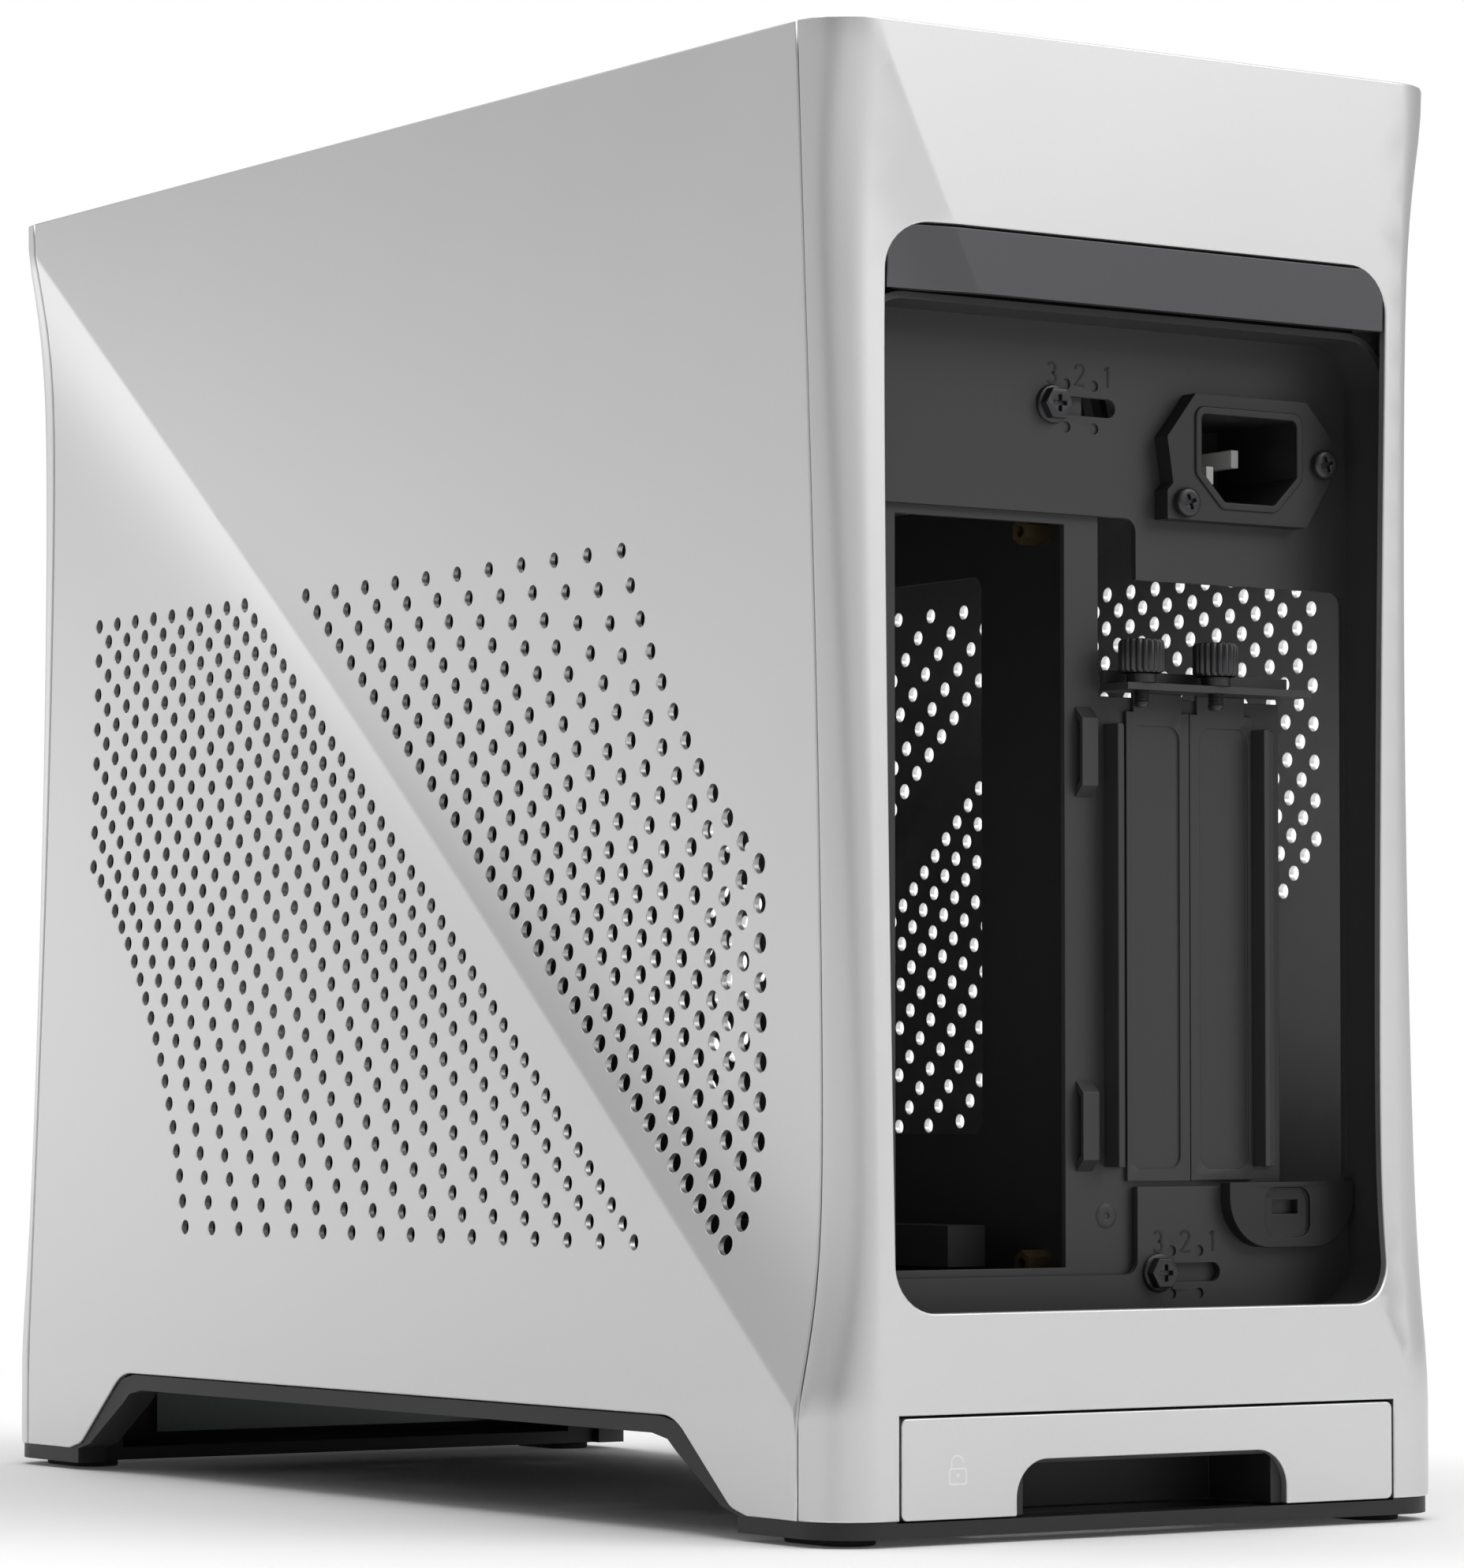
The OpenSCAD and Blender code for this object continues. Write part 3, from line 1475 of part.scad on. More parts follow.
// Lock drawer: a silver front with a finger notch on a black tray
tray_gap = 0.4;
fascia_t = 2;
lock_tray_x = 62;
lock_tray_y = 151;
lock_tray_z1 = 24;
pocket_x = 33;
pocket_z = 16;
pocket_y = 160;
fascia_r = 1.5;
module lock_tray() {
    y1 = half_l - fascia_t;
    color(plastic)
        difference() {
            union() {
                block(-lock_tray_x, lock_tray_x, lock_tray_y, y1, bar_top + tray_gap, lock_tray_z1);
                block(-lock_w / 2, lock_w / 2, y1 - fascia_t, y1, bar_top + tray_gap, lock_z1);
            }
            block(-pocket_x, pocket_x, pocket_y, half_l + cut, bar_top - cut, pocket_z);
            block(-lock_tray_x + 2 * skin_t, lock_tray_x - 2 * skin_t, lock_tray_y + skin_t,
                y1 - 3 * fascia_t,
                pocket_z + skin_t, lock_tray_z1 + cut);
        }
}

module lock_fascia() {
    color(silver)
        upright(half_l - fascia_t, half_l)
            difference() {
                rounded(-lock_w / 2, lock_w / 2, bar_top + tray_gap, lock_z1, fascia_r);
                notch_outline();
            }
}

// Front sockets, the power button and the small board that carries them
io_board_y = -half_l + skirt_w;
io_board_t = 1.6;
io_board_x0 = -60;
io_board_x1 = 44;
io_board_z0 = 7;
io_board_z1 = 24;
socket_set_in = 0.6;
socket_front_y = -half_l + socket_set_in;
port_wall = 0.35;
tongue_in = 1;
usb_a_tongue_drop = 0.7;
usb_a_tongue_t = 1.9;
usb_c_tongue_t = 0.7;
audio_bore_d = 3.6;
button_travel = 1;
button_flange_d = 11.4;
button_flange_t = 1;
button_set_in = 0.5;
switch_w = 6;
switch_t = 3;
module front_io_board() {
    color([0.05, 0.12, 0.07])
        block(io_board_x0, io_board_x1, io_board_y, io_board_y + io_board_t, io_board_z0, io_board_z1);
}

module usb_a_ports() {
    top = socket_z + usb_a_h / 2;
    color([0.75, 0.75, 0.76])
        for (x = usb_a_xs) {
            difference() {
                block(x - usb_a_w / 2, x + usb_a_w / 2, socket_front_y, io_board_y,
                    socket_z - usb_a_h / 2, top);
                block(x - usb_a_w / 2 + port_wall, x + usb_a_w / 2 - port_wall, socket_front_y - cut,
                    io_board_y - port_wall, socket_z - usb_a_h / 2 + port_wall, top - port_wall);
            }
            block(x - usb_a_w / 2 + tongue_in, x + usb_a_w / 2 - tongue_in, socket_front_y + tongue_in,
                io_board_y, top - usb_a_tongue_drop - usb_a_tongue_t, top - usb_a_tongue_drop);
        }
}

module usb_c_port() {
    x0 = usb_c_x - usb_c_w / 2;
    x1 = usb_c_x + usb_c_w / 2;
    z0 = socket_z - usb_c_h / 2;
    z1 = socket_z + usb_c_h / 2;
    color([0.75, 0.75, 0.76]) {
        difference() {
            upright(socket_front_y, io_board_y)
                rounded(x0, x1, z0, z1, usb_c_h / 2 - sliver);
            upright(socket_front_y - cut, io_board_y - port_wall)
                rounded(x0 + port_wall, x1 - port_wall, z0 + port_wall, z1 - port_wall,
                    usb_c_h / 2 - port_wall - sliver);
        }
        block(x0 + tongue_in, x1 - tongue_in, socket_front_y + tongue_in, io_board_y,
            socket_z - usb_c_tongue_t / 2, socket_z + usb_c_tongue_t / 2);
    }
}

module audio_jack() {
    color([0.1, 0.1, 0.1])
        difference() {
            rod_y(audio_x, socket_front_y, io_board_y, socket_z, audio_d);
            rod_y(audio_x, socket_front_y - cut, io_board_y - port_wall, socket_z, audio_bore_d);
        }
}

module power_button() {
    flange_y = -half_l + skin_t + hair;
    color(silver) {
        rod_y(button_x, -half_l + button_set_in, flange_y + button_flange_t, socket_z, button_d);
        rod_y(button_x, flange_y, flange_y + button_flange_t, socket_z, button_flange_d);
        rod_y(button_x, flange_y, io_board_y - switch_t - button_travel - fit, socket_z, stud_d);
    }
}

module button_switch() {
    color([0.1, 0.1, 0.1])
        block(button_x - switch_w / 2, button_x + switch_w / 2, io_board_y - switch_t, io_board_y,
            socket_z - switch_w / 2, socket_z + switch_w / 2);
}

foot_pads();
base_skirt();
base_floor();
rear_frame();
front_frame();
top_frame();
frame_rivets();
rear_shell();
front_shell();
rear_fascia();
side_panel_right();
side_panel_left();
panel_studs_right();
panel_studs_left();
top_panel();
top_panel_pegs();
top_filter();
spine_tray();
spine_rear_plate();
spine_front_plate();
tie_loops();
slot_guides();
slot_retainer();
slot_cover_inner();
slot_cover_outer();
board_standoffs();
riser_plug();
riser_ribbon();
riser_socket();
adjust_screw_top();
adjust_screw_bottom();
guide_screws();
thumb_screw_inner();
thumb_screw_outer();
security_tab();
power_inlet();
inlet_pins();
inlet_screws();
power_lead();
power_lead_plug();
psu_bracket();
fan_frame_front();
fan_frame_rear();
fan_rotor_front();
fan_rotor_rear();
fan_screws();
lock_tray();
lock_fascia();
power_button();
button_switch();
front_io_board();
usb_a_ports();
usb_c_port();
audio_jack();
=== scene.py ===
"""Looks of the mini tower case: sculpted silver skins over black steel, and the fittings of its rear recess.

Lengths are millimetres until a mesh is written; the frame of the model is metres. Seen from outside, a flat
drawing's first coordinate runs to the right and its second one upwards.
"""
from __future__ import annotations

import json
import logging
import math
from dataclasses import dataclass, field
from enum import Enum
from typing import Callable, Sequence

import bmesh
import bpy
import numpy as np
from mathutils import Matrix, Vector
from mathutils.geometry import delaunay_2d_cdt

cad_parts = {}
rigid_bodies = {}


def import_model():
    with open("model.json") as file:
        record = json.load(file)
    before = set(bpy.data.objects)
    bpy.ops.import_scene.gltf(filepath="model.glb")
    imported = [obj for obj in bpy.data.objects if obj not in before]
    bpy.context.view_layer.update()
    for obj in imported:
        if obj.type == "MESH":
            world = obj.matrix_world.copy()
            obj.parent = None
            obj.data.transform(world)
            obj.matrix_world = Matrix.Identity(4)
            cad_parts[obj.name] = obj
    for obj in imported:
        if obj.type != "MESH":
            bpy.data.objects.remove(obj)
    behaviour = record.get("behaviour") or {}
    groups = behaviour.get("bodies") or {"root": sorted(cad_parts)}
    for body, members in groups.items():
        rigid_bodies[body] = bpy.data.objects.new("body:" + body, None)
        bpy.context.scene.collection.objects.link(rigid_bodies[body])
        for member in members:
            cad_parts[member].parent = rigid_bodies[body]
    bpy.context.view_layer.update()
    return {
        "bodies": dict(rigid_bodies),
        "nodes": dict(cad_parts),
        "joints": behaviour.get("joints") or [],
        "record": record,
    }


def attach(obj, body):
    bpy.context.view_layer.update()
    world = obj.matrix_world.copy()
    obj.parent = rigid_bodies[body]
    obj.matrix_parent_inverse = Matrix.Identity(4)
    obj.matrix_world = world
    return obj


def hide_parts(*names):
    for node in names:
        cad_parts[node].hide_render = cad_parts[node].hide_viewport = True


LOG = logging.getLogger("case")
METRE = 0.001
TINY = 1e-9
WHITE = (1.0, 1.0, 1.0, 1.0)
Array = np.ndarray
Pair = tuple[float, float]
Spot = tuple[float, float, float]
Faces = list[list[int]]
Place = Callable[[Array, Array, Array], Array]


# Finishes
class Slot(Enum):
    """The record's material slots."""

    SILVER = "anodised_silver"
    STRIP = "strip_dark"
    STEEL = "black_steel"
    PLASTIC = "black_plastic"
    FAN = "fan_plastic"
    RUBBER = "rubber_feet"
    SCREW = "black_screw"
    BRIGHT = "bright_metal"
    BRASS = "brass"
    CABLE = "cable_black"
    BOARD = "circuit_board"


@dataclass(frozen=True)
class Graph:
    """Adds nodes and links to a node tree."""

    tree: bpy.types.NodeTree

    @staticmethod
    def fill(node: bpy.types.Node, values: dict) -> bpy.types.Node:
        """Sets a node's inputs by name or number, and returns it.

        Args:
            node: the node.
            values: a value for each input, keyed by its name or number.

        Returns:
            The node.
        """
        for key, value in values.items():
            node.inputs[key].default_value = value
        return node

    def node(self, kind: str, values: dict | None = None, operation: str = "") -> bpy.types.Node:
        """Adds a node.

        Args:
            kind: its type, without the words that every shader node's type starts with.
            values: values of its inputs by name or number.
            operation: what a math node does.

        Returns:
            The node.
        """
        made = self.tree.nodes.new("ShaderNode" + kind)
        if operation:
            made.operation = operation
        return self.fill(made, values or {})

    def link(self, *pairs: tuple[bpy.types.NodeSocket, bpy.types.NodeSocket]) -> None:
        """Links each pair's output to its input."""
        for out, into in pairs:
            self.tree.links.new(out, into)


@dataclass(frozen=True)
class Finish:
    """One surface finish: its colour, its gloss and the grain that breaks both up."""

    name: str
    colour: Spot
    metallic: float
    roughness: float
    grain_scale: float
    grain_height: float
    grain_strength: float
    tone: float
    rough_spread: float
    cloud_scale: float = 18.0
    coat: float = 0.0
    coat_roughness: float = 0.2

    def material(self) -> bpy.types.Material:
        """Builds the material once.

        Returns:
            The node material of this finish.
        """
        found = bpy.data.materials.get(self.name)
        if found:
            return found
        made = bpy.data.materials.new(self.name)
        made.use_nodes = True
        made.diffuse_color = (*self.colour, 1.0)
        graph = Graph(made.node_tree)
        grain = graph.node("Group")
        grain.node_tree = grain_group()
        graph.fill(grain, {
            "Colour": (*self.colour, 1.0), "Tone": self.tone, "Roughness": self.roughness,
            "Spread": self.rough_spread, "Grain Scale": self.grain_scale, "Cloud Scale": self.cloud_scale})
        bump = graph.node("Bump", {"Strength": self.grain_strength, "Distance": self.grain_height * METRE})
        shader = graph.fill(made.node_tree.nodes["Principled BSDF"], {
            "Metallic": self.metallic, "Coat Weight": self.coat, "Coat Roughness": self.coat_roughness})
        graph.link((grain.outputs["Colour"], shader.inputs["Base Color"]),
                   (grain.outputs["Roughness"], shader.inputs["Roughness"]),
                   (grain.outputs["Height"], bump.inputs["Height"]),
                   (bump.outputs["Normal"], shader.inputs["Normal"]))
        return made


GRAIN_DETAIL = 3.0
CLOUD_DETAIL = 4.0


def grain_group() -> bpy.types.NodeTree:
    """Shader group that breaks up a plain colour, its gloss and its height.

    A fine noise gives the height of the blasted, coated or moulded grain. A slow noise shifts the colour and
    the roughness a little to both sides of their own value.

    Returns:
        The node group, made once.
    """
    found = bpy.data.node_groups.get("surface_grain")
    if found:
        return found
    tree = bpy.data.node_groups.new("surface_grain", "ShaderNodeTree")
    for way, names in (("INPUT", ("Colour", "Tone", "Roughness", "Spread", "Grain Scale", "Cloud Scale")),
                       ("OUTPUT", ("Colour", "Roughness", "Height"))):
        for name in names:
            kind = "NodeSocketColor" if name == "Colour" else "NodeSocketFloat"
            tree.interface.new_socket(name, in_out=way, socket_type=kind)
    graph = Graph(tree)
    given, result = tree.nodes.new("NodeGroupInput"), tree.nodes.new("NodeGroupOutput")
    place = graph.node("TexCoord")
    fine = graph.node("TexNoise", {"Detail": GRAIN_DETAIL})
    slow = graph.node("TexNoise", {"Detail": CLOUD_DETAIL})

    def around(share: bpy.types.NodeSocket, mask: bpy.types.NodeSocket) -> bpy.types.Node:
        """1 + share * (2 * mask - 1), as two math nodes; returns the last one.

        Args:
            share: how far the value goes to either side of 1.
            mask: the mask, 0 to 1.

        Returns:
            The last of the math nodes.
        """
        signed = graph.node("Math", {1: 2.0, 2: -1.0}, "MULTIPLY_ADD")
        total = graph.node("Math", {2: 1.0}, "MULTIPLY_ADD")
        graph.link((mask, signed.inputs[0]), (signed.outputs[0], total.inputs[0]), (share, total.inputs[1]))
        return total

    tone = around(given.outputs["Tone"], slow.outputs["Fac"])
    gloss = around(given.outputs["Spread"], slow.outputs["Fac"])
    speck = around(given.outputs["Tone"], fine.outputs["Fac"])
    both = graph.node("Math", operation="MULTIPLY")
    scaled = graph.node("VectorMath", operation="SCALE")
    graph.link((place.outputs["Object"], fine.inputs["Vector"]),
               (place.outputs["Object"], slow.inputs["Vector"]),
               (given.outputs["Grain Scale"], fine.inputs["Scale"]),
               (given.outputs["Cloud Scale"], slow.inputs["Scale"]),
               (given.outputs["Roughness"], gloss.inputs[2]),
               (tone.outputs[0], both.inputs[0]), (speck.outputs[0], both.inputs[1]),
               (given.outputs["Colour"], scaled.inputs[0]), (both.outputs[0], scaled.inputs["Scale"]),
               (scaled.outputs["Vector"], result.inputs["Colour"]),
               (gloss.outputs[0], result.inputs["Roughness"]), (fine.outputs["Fac"], result.inputs["Height"]))
    return tree


FINISHES: dict[Slot, Finish] = {
    Slot.SILVER: Finish("blasted_silver_anodising", (0.74, 0.74, 0.745), 1.0, 0.44, 2600.0, 0.03, 0.16,
                        0.018, 0.02),
    Slot.STRIP: Finish("dark_grey_anodising", (0.115, 0.115, 0.12), 1.0, 0.42, 2600.0, 0.03, 0.15, 0.03,
                       0.03),
    Slot.STEEL: Finish("black_powder_coat", (0.030, 0.030, 0.032), 0.0, 0.5, 1900.0, 0.05, 0.35, 0.06, 0.05),
    Slot.PLASTIC: Finish("matt_black_moulding", (0.012, 0.012, 0.0125), 0.0, 0.5, 1500.0, 0.03, 0.22, 0.06,
                         0.06),
    Slot.FAN: Finish("satin_fan_plastic", (0.028, 0.028, 0.03), 0.0, 0.34, 1200.0, 0.02, 0.15, 0.06, 0.06),
    Slot.RUBBER: Finish("soft_black_rubber", (0.018, 0.018, 0.018), 0.0, 0.8, 900.0, 0.05, 0.3, 0.08, 0.05),
    Slot.SCREW: Finish("black_oxide_steel", (0.055, 0.055, 0.058), 0.75, 0.34, 1600.0, 0.02, 0.15, 0.1, 0.08),
    Slot.BRIGHT: Finish("nickel_plate", (0.74, 0.73, 0.71), 1.0, 0.22, 1400.0, 0.01, 0.1, 0.03, 0.05),
    Slot.BRASS: Finish("turned_brass", (0.30, 0.22, 0.11), 1.0, 0.42, 1400.0, 0.01, 0.12, 0.05, 0.06),
    Slot.CABLE: Finish("black_cable_sheath", (0.022, 0.022, 0.023), 0.0, 0.55, 700.0, 0.04, 0.25, 0.08, 0.08),
    Slot.BOARD: Finish("green_solder_mask", (0.014, 0.06, 0.032), 0.0, 0.3, 500.0, 0.02, 0.12, 0.12, 0.06,
                       coat=0.4),
}
PRINT = Finish("pale_printed_sign", (0.86, 0.86, 0.86), 0.0, 0.5, 900.0, 0.01, 0.05, 0.02, 0.03)
# Painted shade: a darker, rougher copy of the black steel for the parts inside the case, where shade falls.
SHADED = Finish("black_steel_painted_shade", (0.010, 0.010, 0.011), 0.0, 0.62, 1900.0, 0.05, 0.3, 0.06, 0.05)
# Pale like the plated pins, and made matt so that their tips read bright: partly the pins' own tone, partly a
# painted highlight.
PIN_TONE_AND_GLINT = Finish("pale_pins_and_painted_glint", (0.82, 0.81, 0.79), 0.0, 0.35, 900.0, 0.01, 0.05, 0.02, 0.03)
ENGRAVED = Finish("black_engraved_figures", (0.006, 0.006, 0.006), 0.0, 0.5, 900.0, 0.01, 0.05, 0.05, 0.05)


# Mesh tools
def placed(name: str, data: bpy.types.ID) -> bpy.types.Object:
    """Makes an object of the data, links it to the scene and returns it.

    Args:
        name: the object's name.
        data: its mesh, light or camera.

    Returns:
        The object.
    """
    made = bpy.data.objects.new(name, data)
    bpy.context.scene.collection.objects.link(made)
    return made


class Workshop:
    """Turns arrays of points and faces into pieces that ride on the CAD's bodies."""

    sharp_angle: float = 35.0
    merge_distance: float = 2e-6
    flat_angle: float = 0.6

    def __init__(self, frame: dict) -> None:
        """Keeps the loaded frame.
        """
        self.nodes: dict[str, bpy.types.Object] = frame["nodes"]
        groups = frame["record"]["behaviour"]["bodies"]
        self.body_of = {node: body for body, members in groups.items() for node in members}
        self.slot_of = {row["node"]: Slot(row["material_slot"]) for row in frame["record"]["subparts"]}
        self.replaced: set[str] = set()

    def piece(self, name: str, points: Array, faces: Faces, body: str, slot: Slot, nodes: Sequence[str] = (),
              finish: Finish | None = None, normals: Array | None = None, sharp: float = sharp_angle) -> None:
        """Writes one piece.

        Args:
            name: the piece's name.
            points: its corners in millimetres, one row each.
            faces: its faces as rows of corner numbers.
            body: the CAD body it rides on.
            slot: the material slot it takes its finish from.
            nodes: the CAD nodes it stands for.
            finish: a finish other than the slot's own.
            normals: a normal for each corner; without them the mesh is shaded by angle.
            sharp: the angle in degrees above which an edge stays sharp.
        """
        mesh = bpy.data.meshes.new(name)
        mesh.from_pydata((points * METRE).tolist(), [], [list(map(int, f)) for f in faces])
        mesh.polygons.foreach_set("use_smooth", np.ones(len(mesh.polygons), bool))
        if normals is not None:
            mesh.normals_split_custom_set_from_vertices(normals.tolist())
        else:
            mesh.set_sharp_from_angle(angle=math.radians(sharp))
        mesh.update()
        self.dress(placed(name, mesh), body, slot, nodes, finish)

    def plate(self, name: str, built: tuple[Array, Faces, Array], body: str, nodes: Sequence[str],
              slot: Slot = Slot.SILVER, turn: bool = False) -> None:
        """Writes a sheet as a piece.

        Args:
            name: the piece's name.
            built: what Sheet.build() returned.
            body: the CAD body it rides on.
            nodes: the CAD nodes it stands for.
            slot: its material slot.
            turn: turns it half round about the upright axis, to the case's other side or end.
        """
        points, faces, normals = built
        way = np.array([-1.0, -1.0, 1.0]) if turn else 1.0
        self.piece(name, points * way, faces, body, slot, nodes, normals=normals * way)

    def dress(self, made: bpy.types.Object, body: str, slot: Slot, nodes: Sequence[str],
              finish: Finish | None) -> None:
        """Gives a piece its material, its body and the nodes it stands for.

        Args:
            made: the piece.
            body: the CAD body it rides on.
            slot: its material slot.
            nodes: the CAD nodes it stands for.
            finish: a finish other than the slot's own.
        """
        made.data.materials.clear()
        made.data.materials.append((finish or FINISHES[slot]).material())
        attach(made, body)
        if nodes:
            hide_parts(*nodes)
            self.replaced.update(nodes)
        LOG.info("%s: %d faces on %s", made.name, len(made.data.polygons), body)

    def softened(self, node: str, width: float, segments: int = 2, finish: Finish | None = None) -> None:
        """Copies a CAD node with its corners merged and its edges rounded, and stands the copy in for it.

        Args:
            node: the CAD node.
            width: how wide the rounding is, in millimetres.
            segments: strips in the rounding.
            finish: a finish other than the slot's own.
        """
        name, angle = node + "_soft", math.radians(self.sharp_angle)
        mesh = self.nodes[node].data.copy()
        mesh.name = name
        work = bmesh.new()
        work.from_mesh(mesh)
        bmesh.ops.remove_doubles(work, verts=work.verts, dist=self.merge_distance)
        bmesh.ops.dissolve_limit(work, angle_limit=math.radians(self.flat_angle), verts=work.verts,
                                 edges=work.edges)
        work.to_mesh(mesh)
        work.free()
        mesh.polygons.foreach_set("use_smooth", np.ones(len(mesh.polygons), bool))
        mesh.set_sharp_from_angle(angle=angle)
        made = placed(name, mesh)
        edge = made.modifiers.new("rounded_edges", "BEVEL")
        edge.width = width * METRE
        edge.segments = segments
        edge.limit_method = "ANGLE"
        edge.angle_limit = angle
        edge.harden_normals = True
        edge.use_clamp_overlap = True
        self.dress(made, self.body_of[node], self.slot_of[node], (node,), finish)

    def paint_rest(self) -> None:
        """Gives every CAD node that is still shown its slot's finish."""
        for name, node in self.nodes.items():
            if name not in self.replaced:
                node.data.materials.clear()
                node.data.materials.append(FINISHES[self.slot_of[name]].material())


def joined(parts: Sequence[tuple[Array, Faces]]) -> tuple[Array, Faces]:
    """Joins several point and face lists into one.

    Args:
        parts: pairs of points and faces.

    Returns:
        All points, and all faces with their numbers moved along.
    """
    points, faces, start = [], [], 0
    for own, rows in parts:
        points.append(own)
        faces.extend([[i + start for i in row] for row in rows])
        start += len(own)
    return np.vstack(points), faces


def grid_faces(rows: int, cols: int, wrap: bool = False) -> Faces:
    """Quads between neighbouring points of a grid stored row by row.

    Args:
        rows: number of rows.
        cols: number of columns.
        wrap: joins the last column to the first.

    Returns:
        Faces whose normal is the column direction crossed with the row direction.
    """
    i, j = np.meshgrid(np.arange(rows - 1), np.arange(cols if wrap else cols - 1), indexing="ij")
    here, there = (i * cols + j).ravel(), (i * cols + (j + 1) % cols).ravel()
    return np.stack([here, there, there + cols, here + cols], 1).tolist()


def circle(x: float, y: float, r: float, steps: int) -> Array:
    """A counter-clockwise circle in a flat drawing."""
    a = np.arange(steps) * 2 * math.pi / steps
    return np.stack([x + r * np.cos(a), y + r * np.sin(a)], 1)


SHARPEST_HALF = 0.05
SIDE_SHARE = 0.49


def filleted(corners: Sequence[Pair], radii: float | Sequence[float], steps: int = 6) -> Array:
    """A closed outline whose corners are rounded by arcs that touch both of their sides.

    The arc's points are those of the straight line between its ends, pushed out to the arc's radius. An arc
    that would take more than half of a side gets a smaller radius.

    Args:
        corners: the outline's corners, counter-clockwise.
        radii: one radius, or one for each corner.
        steps: strips in each arc.

    Returns:
        The points of the outline.
    """
    p = np.array(corners, float)
    r = np.full(len(p), radii, float)
    before, after = np.roll(p, 1, 0) - p, np.roll(p, -1, 0) - p
    lb, la = np.linalg.norm(before, axis=1), np.linalg.norm(after, axis=1)
    b, a = before / lb[:, None], after / la[:, None]
    half = np.arccos(np.clip((a * b).sum(1), -1, 1)) / 2
    reach = np.minimum(r / np.tan(np.maximum(half, SHARPEST_HALF)), SIDE_SHARE * np.minimum(la, lb))
    out = []
    t = np.linspace(0, 1, steps + 1)[:, None]
    for k, corner in enumerate(p):
        if r[k] <= 0:
            out.append(corner[None])
            continue
        start, end = corner + b[k] * reach[k], corner + a[k] * reach[k]
        way = (a[k] + b[k]) / max(np.linalg.norm(a[k] + b[k]), TINY)
        true_r = reach[k] * math.tan(half[k])
        centre = corner + way * true_r / math.sin(half[k])
        blend = (1 - t) * start + t * end - centre
        out.append(centre + blend / np.linalg.norm(blend, axis=1)[:, None] * true_r)
    return np.vstack(out)


def box_outline(x0: float, x1: float, y0: float, y1: float, r: float, steps: int) -> Array:
    """A rectangle with rounded corners."""
    return filleted([(x0, y0), (x1, y0), (x1, y1), (x0, y1)], r, steps)


def plus_outline(length: float, width: float, angle: float = 0.0) -> Array:
    """The outline of a cross recess.

    Args:
        length: across its arms.
        width: of an arm.
        angle: how far it is turned, in degrees.

    Returns:
        Its twelve corners, counter-clockwise, about the origin.
    """
    a, b = length / 2, width / 2
    corners = np.array([(a, -b), (a, b), (b, b), (b, a), (-b, a), (-b, b), (-a, b), (-a, -b), (-b, -b),
                        (-b, -a), (b, -a), (b, -b)])
    c, s = math.cos(math.radians(angle)), math.sin(math.radians(angle))
    return corners @ np.array([[c, s], [-s, c]])


def inside(points: Array, loop: Array) -> Array:
    """Even-odd test of points against a closed outline.

    Args:
        points: the points, one row each.
        loop: the outline's points.

    Returns:
        True for each point inside.
    """
    x, y = points[:, 0][:, None], points[:, 1][:, None]
    x0, y0 = loop[:, 0], loop[:, 1]
    x1, y1 = np.roll(x0, -1), np.roll(y0, -1)
    crosses = (y0 > y) != (y1 > y)
    with np.errstate(divide="ignore", invalid="ignore"):
        at = x0 + (y - y0) * (x1 - x0) / (y1 - y0)
    return (crosses & (x < at)).sum(1) % 2 == 1


def nearest(points: Array, others: Array) -> Array:
    """How far each point is from the nearest of the others."""
    return np.sqrt(((points[:, None] - others[None]) ** 2).sum(2).min(1))


def along(points: Array, longest: float) -> Array:
    """Puts more places on the sides of an open line until none is longer than given.

    Args:
        points: the line's places.
        longest: the longest side allowed.

    Returns:
        The line with the new places in it.
    """
    out = [points[:1]]
    for p, q in zip(points[:-1], points[1:]):
        n = max(1, math.ceil(np.linalg.norm(q - p) / longest))
        out.append(p + (q - p) * (np.arange(1, n + 1) / n)[:, None])
    return np.vstack(out)


def closed(points: Array, longest: float) -> Array:
    """Puts more places on the sides of a closed outline in the same way."""
    return along(np.vstack([points, points[:1]]), longest)[:-1]


def spread(u0: float, u1: float, v0: float, v1: float, du: float, dv: float) -> Array:
    """A staggered net of places over a rectangle.

    Args:
        u0: the left edge.
        u1: the right edge.
        v0: the lower edge.
        v1: the upper edge.
        du: the step along a row.
        dv: the step between rows.

    Returns:
        The places, one row each.
    """
    rows = []
    for k, v in enumerate(np.arange(v0 + dv / 2, v1, dv)):
        us = np.arange(u0 + du / 2 + (k % 2) * du / 2, u1, du)
        rows.append(np.stack([us, np.full(len(us), v)], 1))
    return np.vstack(rows)


MITRE_FLOOR = 0.35


def inset_directions(loop: Array, into_left: bool) -> Array:
    """For each point of a counter-clockwise outline, the way that moves both of its sides by one unit.

    Args:
        loop: the outline.
        into_left: to the inside of the outline, or else to its outside.

    Returns:
        One step for each point.
    """
    way = np.roll(loop, -1, 0) - loop
    way /= np.maximum(np.linalg.norm(way, axis=1), TINY)[:, None]
    left = np.stack([-way[:, 1], way[:, 0]], 1)
    before = np.roll(left, 1, 0)
    scale = np.maximum(1 + (left * before).sum(1), MITRE_FLOOR)
    return (left + before) / scale[:, None] * (1.0 if into_left else -1.0)


